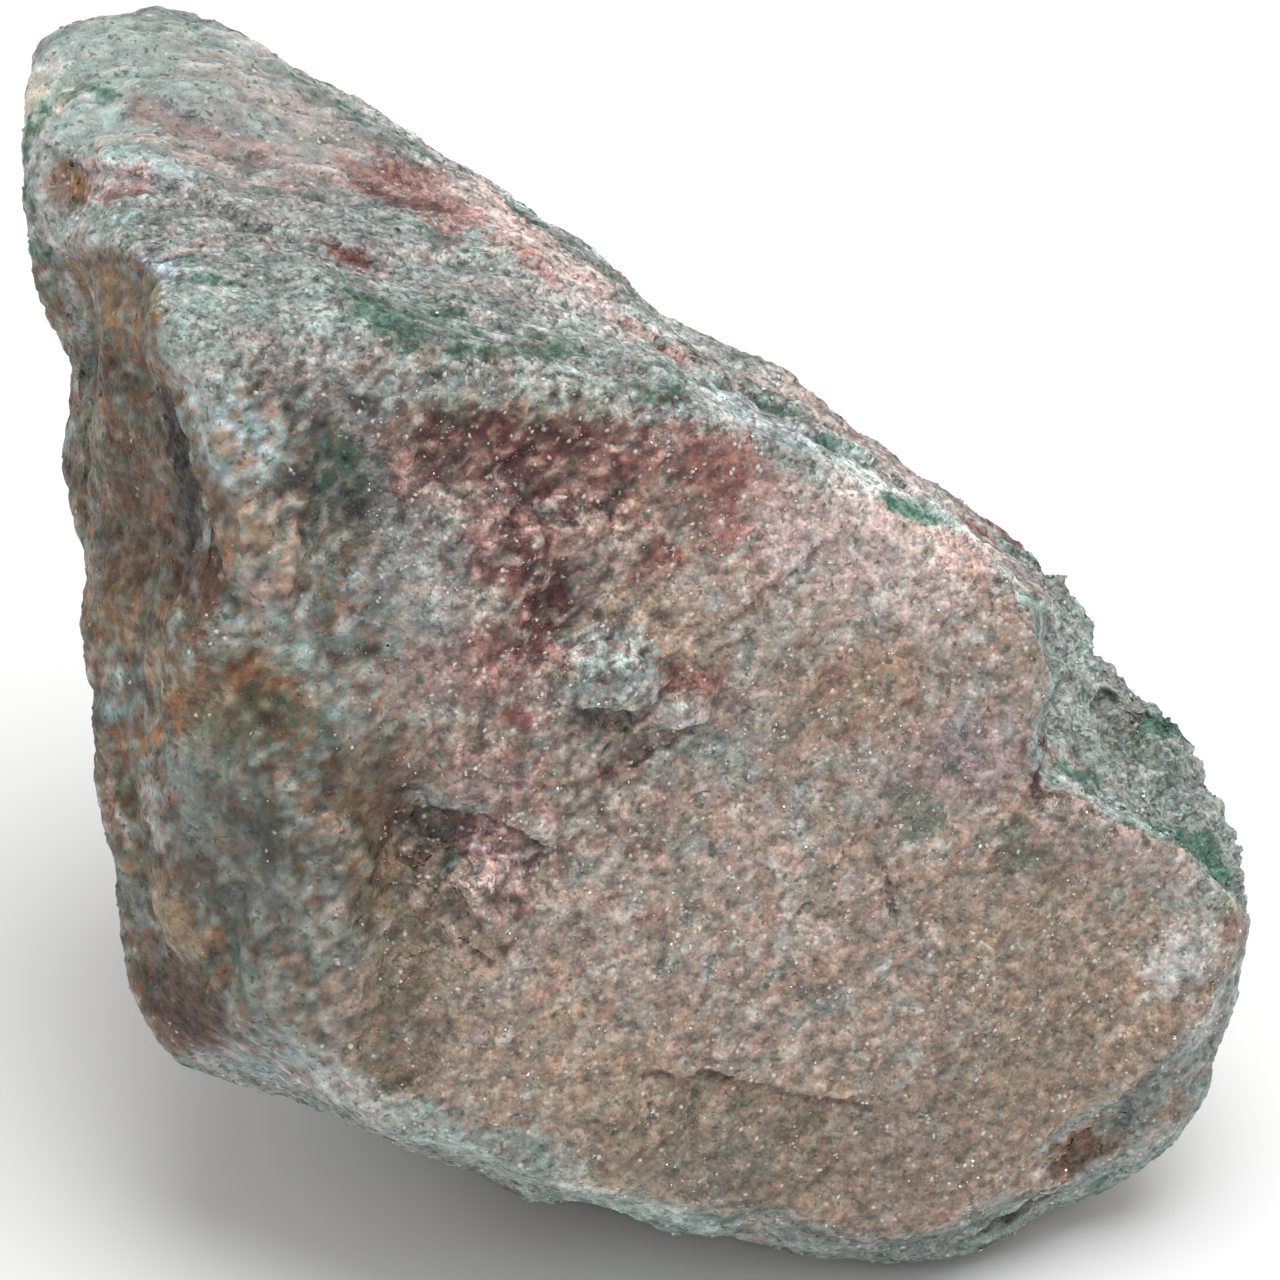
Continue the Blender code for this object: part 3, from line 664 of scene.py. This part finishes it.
# On the weathered left side, and then on the pale ridge in front of it.
LEFT_MARKS = (
    ("ochre", 1.4, 0.8, (85, 285), (120, 285), (150, 330)),
    ("brown", 0.7, 0.7, (105, 380), (118, 430), (150, 470)),
    ("brown", 1.8, 0.8, (120, 510), (130, 560), (105, 590)),
    ("brown", 1.2, 0.8, (160, 470), (178, 530), (180, 590)),
    # in the groove: maroon, its own colour and partly painted shade, then painted shade
    ("maroon", 1.3, 0.95, (166, 415), (180, 470), (194, 530), (202, 585)),
    ("shade", 1.0, 0.9, (170, 420), (182, 480), (194, 540)),
    ("brown", 0.7, 0.85, (212, 480), (222, 540), (226, 575)),
    ("brown", 0.6, 0.9, (196, 590), (204, 640), (210, 695)),
    ("ochre", 1.2, 0.8, (95, 605), (130, 620), (160, 640)),
    ("mint", 0.8, 0.85, (108, 660), (115, 700), (122, 730)),
    ("sage", 0.8, 0.8, (228, 648), (235, 668)),
    ("rust", 0.8, 0.9, (240, 680), (268, 662), (292, 688)),
    ("moss", 0.7, 0.8, (250, 700), (275, 710)),
    ("rust", 0.9, 0.8, (125, 740), (165, 718), (200, 700), (250, 730)),
    ("rust", 0.7, 0.7, (88, 620), (100, 640)),
    ("moss", 1.4, 0.75, (215, 720), (280, 740)),
    ("mint", 0.8, 0.8, (168, 755), (190, 775)),
    ("pale", 1.0, 0.7, (150, 800), (165, 845)),
    ("moss", 2.0, 0.75, (215, 810), (260, 830), (220, 880)),
    ("sage", 1.0, 0.6, (190, 800), (240, 860)),
    ("brown", 0.8, 0.7, (160, 868), (205, 880)),
    ("ochre", 1.2, 0.9, (165, 905), (195, 935)),
    ("green", 0.6, 0.9, (232, 958), (240, 972)),
    ("sage", 1.2, 0.7, (270, 900), (330, 950)),
    ("brown", 1.6, 0.9, (165, 985), (190, 1000), (175, 1025)),
    ("maroon", 0.9, 0.75, (160, 1000), (180, 1020)),
    ("brown", 0.9, 0.8, (200, 975), (215, 1010)),
    ("sage", 1.4, 0.8, (260, 1000), (280, 1050)),
    ("grey", 1.0, 0.8, (210, 1062), (300, 1090)),
    ("brown", 0.5, 0.75, (97, 735), (106, 780), (114, 825)),
    ("grey", 0.5, 0.7, (120, 850), (124, 885)),
    ("mint", 1.6, 0.85, (190, 340), (205, 400), (225, 430)),
    ("mint", 1.4, 0.9, (240, 460), (270, 470)),
    ("pale", 0.8, 0.6, (195, 380), (215, 440)),
    ("ochre", 0.5, 0.7, (215, 440), (230, 455), (245, 458)),
    ("tan", 1.3, 0.6, (245, 520), (270, 545), (260, 580)),
    ("pink", 0.8, 0.85, (255, 585), (275, 610)),
    ("mint", 1.0, 0.9, (285, 635), (295, 665)),
    ("mint", 1.0, 0.7, (320, 690), (330, 730)),
    ("moss", 1.0, 0.6, (315, 745), (325, 800)),
)


def paint_left_side(paint):
    """The weathered side at the left, in ragged patches of brown, rust and ochre, and the ridge beside it."""
    left = paint.left
    behind = left - paint.shown
    paint.blend(paint.every, "olive", left)
    paint.sprinkle(
        left,
        ("ochre", 1.2, 0.08, 0.8),
        ("moss", 1.0, 0.08, 0.85),
        ("brown", 0.9, 0.12, 0.85),
        ("sage", 0.8, 0.24, 0.9),
        ("shade", 0.7, 0.28, 0.5),
    )
    paint.sprinkle(
        behind,
        ("sage", 5.0, 0.05, 0.7),
        ("brown", 3.5, 0.15, 0.6),
    )
    edge = paint.area(5.0, *WEATHERED[1:]) * (1 - left)
    paint.sprinkle(
        edge,
        ("brown", 0.9, 0.12, 0.6),
        ("tan", 1.0, 0.12, 0.6),
        ("moss", 0.8, 0.12, 0.6),
        ("mint", 0.7, 0.20, 0.6),
        ("pale", 0.9, 0.26, 0.5),
    )
    paint.mark(LEFT_MARKS)


# On the top.
TOP_MARKS = (
    ("grey", 2.4, 0.7, (190, 110), (280, 130), (330, 190)),
    ("mint", 3.2, 0.8, (90, 50), (150, 50), (220, 70)),
    ("pink", 1.6, 0.5, (220, 70), (290, 110), (350, 145)),
    ("pale", 1.0, 0.8, (20, 130), (32, 95), (45, 75)),
    ("ochre", 0.7, 0.4, (26, 115), (40, 90)),
    ("mint", 1.2, 0.8, (60, 125), (100, 140), (140, 155)),
    ("pale", 0.9, 0.7, (35, 160), (42, 200), (55, 235)),
    ("rose", 0.8, 0.45, (150, 115), (190, 135), (245, 155)),
    ("green", 0.35, 0.95, (103, 95), (112, 97)),
    ("sage", 0.9, 0.8, (120, 150), (200, 185), (260, 205)),
    ("pink", 0.5, 0.75, (70, 172), (130, 176), (220, 208), (330, 238)),
    ("brown", 1.0, 0.75, (66, 185), (80, 200)),
    ("ochre", 0.5, 0.9, (75, 180), (85, 190)),
    ("mint", 0.6, 0.95, (66, 228), (95, 220), (128, 232)),
    ("pale", 0.5, 0.8, (90, 240), (130, 248)),
    ("grey", 2.4, 0.8, (200, 220), (300, 230), (360, 235)),
    ("pink", 1.2, 0.6, (290, 165), (350, 180)),
    ("rose", 1.8, 0.85, (390, 185), (430, 195), (460, 220)),
    ("maroon", 0.6, 0.7, (375, 195), (400, 205), (440, 205)),
    ("brick", 0.35, 0.85, (310, 242), (340, 256), (395, 263)),
    ("pink", 1.5, 0.9, (470, 180), (530, 240), (590, 285)),
    ("brick", 0.4, 0.6, (520, 250), (560, 295)),
    ("sage", 1.2, 0.8, (230, 270), (330, 280), (380, 300)),
    ("green", 0.35, 0.9, (214, 282), (236, 286)),
    ("mint", 1.3, 0.8, (180, 300), (260, 310), (340, 330)),
    ("grey", 1.5, 0.6, (240, 350), (330, 370), (380, 380)),
    ("grey", 1.6, 0.7, (420, 280), (520, 300), (600, 330)),
    ("moss", 1.0, 0.6, (360, 310), (420, 320), (440, 330)),
    ("green", 0.9, 0.75, (365, 305), (400, 330)),
    ("green", 0.7, 0.95, (458, 352), (480, 356)),
    ("green", 0.5, 0.7, (510, 348), (560, 355)),
    ("pink", 0.5, 0.8, (610, 312), (690, 370)),
    ("brick", 0.3, 0.7, (625, 325), (680, 362)),
    ("mint", 0.9, 0.85, (400, 385), (520, 385), (640, 398), (720, 412)),
    ("green", 0.5, 0.8, (645, 388), (690, 396)),
    ("pale", 0.9, 0.6, (700, 400), (800, 440)),
    ("sage", 0.8, 0.7, (770, 440), (820, 470)),
    ("pale", 1.0, 0.55, (830, 465), (900, 495)),
    ("green", 0.5, 0.9, (892, 502), (925, 516)),
    ("pink", 1.1, 0.7, (760, 390), (830, 430), (900, 480), (980, 530)),
    ("brick", 0.4, 0.75, (970, 528), (985, 540)),
    ("rose", 1.4, 0.45, (980, 560), (1030, 580)),
    ("pale", 0.8, 0.6, (230, 35), (330, 88), (430, 150), (520, 205), (600, 262), (700, 350), (800, 402)),
)


def paint_top(paint):
    """The banded top, which cuts across the beds."""
    paint.mark(TOP_MARKS)


# On the crumbling right side and the corner below it.
RIGHT_MARKS = (
    ("sage", 2.6, 0.8, (1080, 630), (1120, 720), (1180, 790), (1215, 870)),
    ("green", 0.5, 0.8, (1070, 765), (1095, 778)),
    ("moss", 0.9, 0.8, (1130, 740), (1170, 770)),
    ("green", 0.6, 0.8, (1150, 725), (1175, 730)),
    ("green", 0.9, 0.85, (1175, 835), (1205, 850), (1220, 870)),
    # painted shade in the pit
    ("shade", 0.6, 0.85, (1110, 712), (1120, 725)),
    ("maroon", 0.45, 0.95, (1032, 738), (1030, 785)),
    # painted shade in two hollows by the ledge
    ("shade", 0.4, 0.7, (1045, 706), (1040, 740)),
    ("shade", 0.4, 0.7, (1045, 800), (1070, 808)),
    ("pink", 1.0, 0.6, (1120, 850), (1170, 870)),
    ("mint", 0.6, 0.7, (1110, 812), (1160, 825)),
    ("rose", 0.6, 0.5, (1225, 930), (1242, 930)),
    ("pale", 1.2, 0.7, (1165, 965), (1200, 950)),
    ("ochre", 0.5, 0.8, (1198, 995), (1212, 990)),
    ("brown", 1.2, 0.9, (1070, 1160), (1100, 1140), (1115, 1118)),
    ("sage", 1.3, 0.9, (1125, 1120), (1160, 1080), (1190, 1050)),
    ("pale", 0.7, 0.6, (1200, 1030), (1215, 1000)),
    ("sage", 0.8, 0.8, (1060, 1200), (1000, 1235), (940, 1258)),
    # painted shade in the crack near the foot
    ("shade", 0.3, 0.8, (1045, 1195), (1010, 1218)),
)


def paint_right_side(paint):
    """The green and grey of the right side, with painted shade in its pits, hollows and a crack near its
    foot, and brown and maroon stains.
    """
    paint.mark(RIGHT_MARKS)


# Broad parts: how light against their zones, how much warmer, radius in millimetres, and the path. Some rows
# are the stone's own lighter and darker parts; others are painted shade or painted highlight, as marked
# below.
TONES_AND_PAINTED_LIGHT = (
    # darker towards the bottom of the broken face: painted shade
    (0.90, 0, 4.0, (760, 1180), (900, 1150), (1010, 1090)),
    (0.80, 0.12, 2.5, (850, 700), (880, 690)),
    (1.14, -0.02, 4.0, (760, 580), (950, 620)),
    (1.15, -0.02, 2.0, (640, 605), (665, 615)),
    (1.10, 0, 3.0, (130, 60), (240, 110)),
    (1.15, 0, 2.5, (740, 850), (770, 860)),
    (0.86, 0, 2.5, (1060, 850), (1030, 860)),
    (0.88, 0, 2.5, (1040, 980), (1060, 1020)),
    (1.35, 0, 1.5, (930, 828), (935, 835)),
    (1.05, -0.10, 2.0, (970, 735), (990, 745)),
    (0.72, 0.14, 2.0, (440, 430), (480, 430)),
    (1.04, 0.10, 2.5, (540, 440), (610, 450), (620, 490)),
    (1.10, 0.05, 2.2, (520, 560), (540, 610), (500, 650)),
    (0.86, 0.06, 2.2, (700, 480), (720, 520)),
    (0.93, -0.07, 3.0, (700, 1170), (720, 1170)),
    (0.88, 0, 2.0, (1000, 1100), (1010, 1100)),
    (1.30, 0, 2.0, (1050, 620), (1070, 650)),
    (0.90, -0.04, 2.5, (900, 1150), (920, 1150)),
    (1.10, 0.12, 2.0, (180, 700), (200, 710)),
    (1.50, 0, 1.0, (103, 780), (112, 820)),
    (1.07, 0, 4.0, (560, 1000), (650, 950), (800, 1000)),
    (0.92, 0.12, 1.5, (1225, 920), (1230, 940)),
    (0.90, 0, 2.5, (260, 370), (350, 390)),
    (1.20, -0.05, 2.0, (260, 1060), (300, 1060)),
    (0.88, 0, 2.6, (320, 720), (330, 660)),
    (0.58, 0, 1.8, (340, 470), (350, 505)),
    (1.10, -0.08, 2.0, (350, 600), (355, 610)),
    (0.84, 0.03, 3.0, (290, 870), (330, 950), (280, 1000)),
    (0.55, 0.18, 1.9, (365, 770), (370, 880)),
    (0.76, 0, 2.0, (405, 1040), (400, 1060)),
    # darker in the pit under the ledge: painted shade
    (0.58, 0, 1.4, (430, 820), (440, 840)),
    (1.80, -0.06, 1.5, (490, 845), (500, 860)),
    (1.30, -0.10, 1.8, (225, 425), (240, 455)),
    (0.74, 0.10, 5.0, (110, 430), (120, 560), (110, 600)),
    (0.88, 0, 3.0, (110, 300), (130, 340)),
    # in the groove on the left: painted shade over its own dark maroon
    (0.28, 0.22, 1.3, (168, 420), (180, 480), (194, 545)),
    (0.72, 0.25, 1.8, (245, 680), (285, 710)),
    (1.50, -0.14, 1.4, (122, 705), (135, 725)),
    (1.36, -0.10, 1.5, (172, 930), (185, 930)),
    (0.78, 0, 3.5, (200, 830), (260, 830), (240, 880)),
    (0.46, 0.14, 2.4, (165, 985), (195, 1010)),
    (0.72, 0, 1.8, (1165, 1090), (1140, 1110)),
    (0.90, -0.05, 1.5, (1190, 975), (1210, 960)),
    (1.30, 0.07, 1.5, (1085, 1145), (1105, 1130)),
    (0.80, 0, 2.0, (850, 1240), (960, 1240)),
    (1.10, 0, 2.5, (60, 130), (120, 130), (180, 170), (240, 190)),
    (1.65, 0.06, 1.8, (30, 110), (50, 105)),
    (1.40, 0.06, 1.2, (70, 185), (80, 195)),
    (1.20, 0, 1.2, (105, 92), (115, 98)),
    (1.20, -0.15, 1.4, (145, 270), (160, 275)),
    (0.88, 0, 1.4, (240, 280), (260, 280)),
    (1.28, -0.04, 1.5, (130, 178), (160, 182)),
    (1.42, 0, 2.5, (480, 200), (540, 270), (620, 330)),
    (1.35, 0, 1.4, (545, 335), (575, 335)),
    (1.12, -0.06, 2.0, (740, 410), (780, 430)),
    # lighter along the rim of the top: painted highlight
    (1.72, 0, 2.2, (860, 475), (890, 495), (930, 520), (990, 560)),
    (1.20, 0, 1.8, (1090, 715), (1160, 760)),
    (1.10, 0, 1.8, (1195, 850), (1205, 870)),
    (1.40, 0, 1.5, (580, 1185), (660, 1205)),
)


def paint_tones_and_light(paint):
    """Broad parts that are lighter or darker than their zones, by their own colour or by painted light and
    shade.
    """
    paint.tone(TONES_AND_PAINTED_LIGHT)


def link(thing):
    bpy.context.scene.collection.objects.link(thing)
    return thing


def number_attribute(mesh, name, values):
    """Stores one number at each vertex."""
    layer = mesh.attributes.new(name, "FLOAT", "POINT")
    layer.data.foreach_set("value", values.astype(np.float32))


def colour_attribute(mesh, name, values):
    """Stores red, green and blue at each vertex."""
    layer = mesh.attributes.new(name, "FLOAT_COLOR", "POINT")
    full = np.ones((len(values), 4), np.float32)
    full[:, :3] = values
    layer.data.foreach_set("color", full.ravel())


class Nodes:
    """Short names for what the materials below do with nodes."""

    def __init__(self, name):
        self.material = bpy.data.materials.new(name)
        self.material.use_nodes = True
        self.tree = self.material.node_tree
        self.shader = self.tree.nodes["Principled BSDF"]

    def add(self, kind, **settings):
        node = self.tree.nodes.new(kind)
        for name, value in settings.items():
            setattr(node, name, value)
        return node

    def join(self, output, socket):
        self.tree.links.new(output, socket)

    def feed(self, socket, value):
        if isinstance(value, bpy.types.NodeSocket):
            self.join(value, socket)
        else:
            socket.default_value = value

    def math(self, operation, first, second=0.0, third=0.0):
        node = self.add("ShaderNodeMath", operation=operation)
        self.feed(node.inputs[0], first)
        self.feed(node.inputs[1], second)
        self.feed(node.inputs[2], third)
        return node.outputs[0]

    def mix(self, share, first, second, blend="MIX"):
        node = self.add("ShaderNodeMix", data_type="RGBA", blend_type=blend)
        self.feed(node.inputs[0], share)
        self.feed(node.inputs[6], first)
        self.feed(node.inputs[7], second)
        return node.outputs[2]

    def spread(self, value, low, high, start=0.0, end=1.0):
        """A value that runs from start to end, stretched to run from low to high."""
        node = self.add("ShaderNodeMapRange")
        self.feed(node.inputs["Value"], value)
        node.inputs["From Min"].default_value = start
        node.inputs["From Max"].default_value = end
        node.inputs["To Min"].default_value = low
        node.inputs["To Max"].default_value = high
        return node.outputs[0]

    def attribute(self, name):
        return self.add("ShaderNodeAttribute", attribute_name=name).outputs["Color"]

    def apart(self, colour):
        node = self.add("ShaderNodeSeparateColor")
        self.join(colour, node.inputs[0])
        return node.outputs

    def places(self):
        return self.add("ShaderNodeTexCoord").outputs["Object"]

    def moved(self, places, colour, reach):
        """Places moved by up to half of reach along each axis, by how far a colour is from grey."""
        offset = self.add("ShaderNodeVectorMath", operation="MULTIPLY_ADD")
        self.join(colour, offset.inputs[0])
        offset.inputs[1].default_value = (reach,) * 3
        self.join(places, offset.inputs[2])
        return offset.outputs[0]

    def noise(self, places, scale, detail=2.0):
        node = self.add("ShaderNodeTexNoise")
        self.join(places, node.inputs["Vector"])
        node.inputs["Scale"].default_value = scale
        node.inputs["Detail"].default_value = detail
        return node.outputs

    def speck(self, share, value):
        """1 in soft-edged spots that cover about a share of the whole, where a noise value is lowest."""
        level = self.math("MULTIPLY_ADD", share, 0.5, 0.31)
        return self.spread(self.math("SUBTRACT", level, value), 0.0, 1.0, -0.025, 0.025)


def opaque(colour):
    return (*linear(colour), 1.0)


def rock_material():
    """Sugary grain: the surface carries the tint, and single grains and specks are cells of the material."""
    rock = Nodes("aventurine_rock")
    clouds = rock.noise(rock.places(), CLOUD_SCALE)["Color"]
    cells = rock.add("ShaderNodeTexVoronoi")
    rock.join(rock.moved(rock.places(), clouds, 0.00016), cells.inputs["Vector"])
    cells.inputs["Scale"].default_value = CELL_SCALE
    light, warm, kind = rock.apart(cells.outputs["Color"])[:3]
    middle = rock.spread(cells.outputs["Distance"], 1.0, 0.0, 0.15, 0.75)
    soft, first, second = rock.apart(clouds)[:3]
    shares = rock.apart(rock.attribute("specks"))

    fine = rock.math("ADD", rock.spread(light, -0.38, 0.22), rock.spread(soft, -0.25, 0.25, 0.3, 0.7))
    # Each grain painted lighter at its middle and darker at its edges: painted shading of the grain's dome.
    fine = rock.math("MULTIPLY_ADD", middle, 0.22, fine)
    grit = rock.add("ShaderNodeAttribute", attribute_name="grit").outputs["Fac"]
    fine = rock.math("MULTIPLY_ADD", fine, grit, 1.0)
    colour = rock.mix(1.0, rock.attribute("tint"), fine, "MULTIPLY")
    shift = rock.mix(warm, opaque((243, 255, 255)), opaque((255, 245, 241)))
    colour = rock.mix(1.0, colour, shift, "MULTIPLY")
    dark = rock.speck(shares[2], first)
    colour = rock.mix(rock.math("MULTIPLY", dark, 0.65), colour, opaque(DARK_GRAIN))
    green = rock.speck(shares[1], second)
    colour = rock.mix(rock.math("MULTIPLY", green, 0.7), colour, opaque(GREEN_GRAIN))
    # Pale grains, lighter at their middles: partly the stone's pale grains, partly painted glints.
    pale = rock.math("GREATER_THAN", kind, rock.math("SUBTRACT", 1.0, shares[0]))
    pale = rock.math("MULTIPLY", pale, rock.math("MULTIPLY", middle, rock.spread(light, 0.15, 1.25)))
    colour = rock.mix(rock.math("MINIMUM", pale, 0.9), colour, opaque(PALE_GRAIN_AND_GLINT))
    rock.join(colour, rock.shader.inputs["Base Color"])

    rock.join(rock.spread(warm, 0.34, 0.66), rock.shader.inputs["Roughness"])
    bump = rock.add("ShaderNodeBump")
    bump.inputs["Strength"].default_value = 0.8
    bump.inputs["Distance"].default_value = 0.00015
    rock.join(rock.math("MULTIPLY_ADD", middle, 0.35, soft), bump.inputs["Height"])
    rock.join(bump.outputs[0], rock.shader.inputs["Normal"])
    return rock.material


def block_material(name, cloud_scale, cloud_range, gloss_scale, gloss_range):
    """For small blocks that each keep their own colour, with a little cloudiness in it and in the gloss."""
    block = Nodes(name)
    cloud = block.spread(block.noise(block.places(), cloud_scale)["Fac"], *cloud_range, 0.3, 0.7)
    colour = block.mix(1.0, block.attribute("grain"), cloud, "MULTIPLY")
    block.join(colour, block.shader.inputs["Base Color"])
    gloss = block.spread(block.noise(block.places(), gloss_scale)["Fac"], *gloss_range, 0.3, 0.7)
    block.join(gloss, block.shader.inputs["Roughness"])
    return block


def grain_material():
    """Clear to milky grains."""
    return block_material("quartz_grains", 5200.0, (0.7, 1.3), 1900.0, (0.2, 0.55)).material


def mica_material():
    """Bright scales with a silky shine: the shine is their gloss, and their brightness is partly painted
    glint.
    """
    mica = block_material("mica_flakes", 4200.0, (0.8, 1.1), 2300.0, (0.12, 0.35))
    mica.shader.inputs["Metallic"].default_value = 0.35
    return mica.material


def as_piece(name, mesh, material):
    """Turns a mesh in millimetres into a piece of the stone."""
    mesh.transform(Matrix.Scale(MM, 4))
    mesh.materials.clear()
    mesh.materials.append(material)
    piece = link(bpy.data.objects.new(name, mesh))
    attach(piece, "root")
    return piece


def blocks(places, normals, long, size, height, chance):
    """Angular four-cornered blocks, sunk into the surface, with uneven tops: 8 corners and 5 faces each."""
    count = len(places)
    side = unit(np.cross(normals, long))
    ahead = np.cross(side, normals)
    quarter = np.arange(4) * math.pi / 2 + math.pi / 4
    angle = quarter + chance.uniform(-0.35, 0.35, (count, 4))
    reach = size[:, None] * chance.uniform(0.72, 1.2, (count, 4))
    stretch = chance.uniform(1.0, 1.35, (count, 1))
    right, up = np.cos(angle) * reach * stretch, np.sin(angle) * reach
    shrink = chance.uniform(0.5, 0.85, (count, 4))
    tops = height[:, None] * chance.uniform(0.35, 1.0, (count, 4))
    low = -0.6 * size[:, None] * np.ones((count, 4))
    rings = []
    for share, lift in ((1.0, low), (shrink, tops)):
        ring = (
            places[:, None]
            + ahead[:, None] * (right * share)[..., None]
            + side[:, None] * (up * share)[..., None]
            + normals[:, None] * lift[..., None]
        )
        rings.append(ring)
    return np.concatenate(rings, 1)


BLOCK_FACES = np.array(((4, 5, 6, 7), (0, 1, 5, 4), (1, 2, 6, 5), (2, 3, 7, 6), (3, 0, 4, 7)))


def joined_blocks(name, corners, colours, material):
    """One piece out of many blocks, each with its own colour and its own place on the baking map."""
    count = len(corners)
    faces = (BLOCK_FACES[None] + (np.arange(count) * 8)[:, None, None]).reshape(-1, 4)
    points = corners.reshape(-1, 3)
    points[:, 2] = np.maximum(points[:, 2], 0)
    mesh = bpy.data.meshes.new(name)
    mesh.from_pydata(points.tolist(), [], faces.tolist())
    colour_attribute(mesh, "grain", np.repeat(colours, 8, axis=0))
    cells = math.ceil(math.sqrt(count))
    cell = np.arange(count)
    low = np.stack((cell % cells, cell // cells), 1) + 0.15
    corner = np.array(((0, 0), (0.7, 0), (0.7, 0.7), (0, 0.7)))
    places = (low[:, None, None] + corner[None, None]) / cells
    places = np.broadcast_to(places, (count, 5, 4, 2))
    layer = mesh.uv_layers.new(name="OFBake")
    layer.data.foreach_set("uv", places.reshape(-1).astype(np.float32))
    return as_piece(name, mesh, material)


def scattered(surface, likely, count, lean, turn, chance):
    """Points for blocks to stand at, by how likely each is, and the blocks' own up and long directions."""
    vertex = chance.choice(len(likely), count, replace=False, p=likely / likely.sum())
    normals = unit(surface.normals[vertex] + chance.normal(0, lean, (count, 3)))
    long = view_axes() @ STREAK + chance.normal(0, turn, (count, 3))
    return vertex, normals, long


def add_grains(surface, paint, chance):
    """Quartz grains that stand out of the surface, most of them where it crumbles and along its edges."""
    likely = (0.2 + 0.7 * crumble_share(surface)) * (surface.points[:, 2] > 0.3)
    vertex, normals, long = scattered(surface, likely, GRAINS, 0.3, 0.7, chance)
    size = chance.uniform(0.07, 0.15, GRAINS)
    corners = blocks(surface.points[vertex], normals, long, size, size * 0.45, chance)
    colours = paint.tint[vertex] * chance.uniform(0.75, 1.3, (GRAINS, 1))
    joined_blocks("quartz_grains", corners, colours, grain_material())


def add_flakes(surface, paint, chance):
    """Mica flakes that lie nearly along the surface, few of them on the weathered left."""
    facing = np.abs(surface.broad @ bed_normal())
    left = rise((-9.5 - paint.view[:, 0]) / 3.0)
    likely = (0.4 + 0.6 * rise((facing - 0.5) / 0.3)) * (1 - 0.93 * left) * (surface.points[:, 2] > 0.3)
    likely = likely * np.clip(0.3 + 3.0 * uneven(surface.points, 1.4, 30.0), 0.03, 2.0)
    vertex, normals, long = scattered(surface, likely, FLAKES, 0.45, 0.6, chance)
    size = 0.03 + 0.075 * chance.random(FLAKES) ** 3
    corners = blocks(surface.points[vertex] + normals * 0.03, normals, long, size, size * 0.35, chance)
    # The flakes' colour: bright mica, partly painted glint, with a little of the surface's tint.
    colours = linear(MICA_AND_GLINT) * chance.uniform(0.2, 0.9, (FLAKES, 1)) + paint.tint[vertex] * 0.4
    joined_blocks("mica_flakes", corners, colours, mica_material())


def add_surface(surface, paint):
    """The stone's surface in four pieces that meet without a seam: it is split at its middle planes."""
    material = rock_material()
    corners = np.empty(len(surface.mesh.loops), np.int32)
    surface.mesh.loops.foreach_get("vertex_index", corners)
    corners = corners.reshape(-1, 4)
    middles = surface.points[corners].mean(1)
    depth, along = bed_depth(middles), middles[:, 0]
    rear = depth > np.median(depth)
    for name, half in (("front", ~rear), ("rear", rear)):
        right = along > np.median(along[half])
        for side, quarter in (("left", half & ~right), ("right", half & right)):
            used, faces = np.unique(corners[quarter], return_inverse=True)
            mesh = bpy.data.meshes.new(f"stone_{name}_{side}")
            mesh.from_pydata(surface.points[used].tolist(), [], faces.reshape(-1, 4).tolist())
            mesh.shade_smooth()
            mesh.normals_split_custom_set_from_vertices(surface.normals[used].tolist())
            colour_attribute(mesh, "tint", paint.tint[used])
            colour_attribute(mesh, "specks", paint.shares[used])
            number_attribute(mesh, "grit", paint.grit[used])
            piece = as_piece(mesh.name, mesh, material)
            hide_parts("stone")
            print(piece.name, 2 * len(mesh.polygons), "triangles")


def build_stone():
    surface = Surface(solid_surface())
    work_beds(surface)
    work_face(surface)
    work_ledges(surface)
    work_all(surface)
    work_cracks(surface)

    paint = Paint(surface)
    paint_beds(paint)
    paint_broken_face(paint)
    paint_top(paint)
    paint_left_side(paint)
    paint_right_side(paint)
    paint.mottle()
    paint_tones_and_light(paint)
    paint.cloud()

    chance = np.random.default_rng(SEED)
    add_surface(surface, paint)
    add_grains(surface, paint, chance)
    add_flakes(surface, paint, chance)


def add_floor():
    """A sheet of pale paper."""
    mesh = bpy.data.meshes.new("floor")
    half = FLOOR_SIDE / 2
    corners = [(-half, -half, 0), (half, -half, 0), (half, half, 0), (-half, half, 0)]
    mesh.from_pydata(corners, [], [(0, 1, 2, 3)])
    floor = link(bpy.data.objects.new("floor", mesh))
    paper = Nodes("floor_paper")
    soft = paper.noise(paper.places(), 30.0, 3.0)["Fac"]
    white = paper.mix(soft, opaque((246, 246, 246)), opaque((249, 249, 249)))
    paper.join(white, paper.shader.inputs["Base Color"])
    paper.shader.inputs["Roughness"].default_value = 0.9
    paper.shader.inputs["Specular IOR Level"].default_value = 0.1
    mesh.materials.append(paper.material)


def add_lights():
    """Even light from all round, and a broad soft lamp overhead."""
    world = bpy.data.worlds.new("studio")
    bpy.context.scene.world = world
    world.use_nodes = True
    background = world.node_tree.nodes["Background"]
    background.inputs["Color"].default_value = (1.0, 1.0, 1.0, 1)
    background.inputs["Strength"].default_value = ROOM_LIGHT
    overhead = bpy.data.lights.new("overhead", "SUN")
    overhead.energy = LAMP_LIGHT
    overhead.angle = LAMP_SPREAD
    lamp = link(bpy.data.objects.new("overhead", overhead))
    lamp.rotation_euler = (math.radians(4), math.radians(8), 0)


def add_camera():
    sensor = 36.0
    camera = bpy.data.cameras.new("camera")
    camera.sensor_width = sensor
    camera.lens = sensor * VIEW_DISTANCE / (PHOTO_SIDE / PIXELS_PER_MM)
    camera.clip_start = 0.01
    holder = link(bpy.data.objects.new("camera", camera))
    eye = VIEW_ORIGIN + view_axes() @ np.array((0, 0, VIEW_DISTANCE))
    holder.matrix_world = Matrix.Translation(eye * MM) @ Matrix.Rotation(TO_VIEW_TILT, 4, "X")
    bpy.context.scene.camera = holder


def main():
    bpy.context.scene.view_settings.view_transform = "Standard"
    bpy.context.scene.cycles.max_bounces = 3
    bpy.context.scene.cycles.diffuse_bounces = 2
    build_stone()
    add_floor()
    add_lights()
    add_camera()


main()
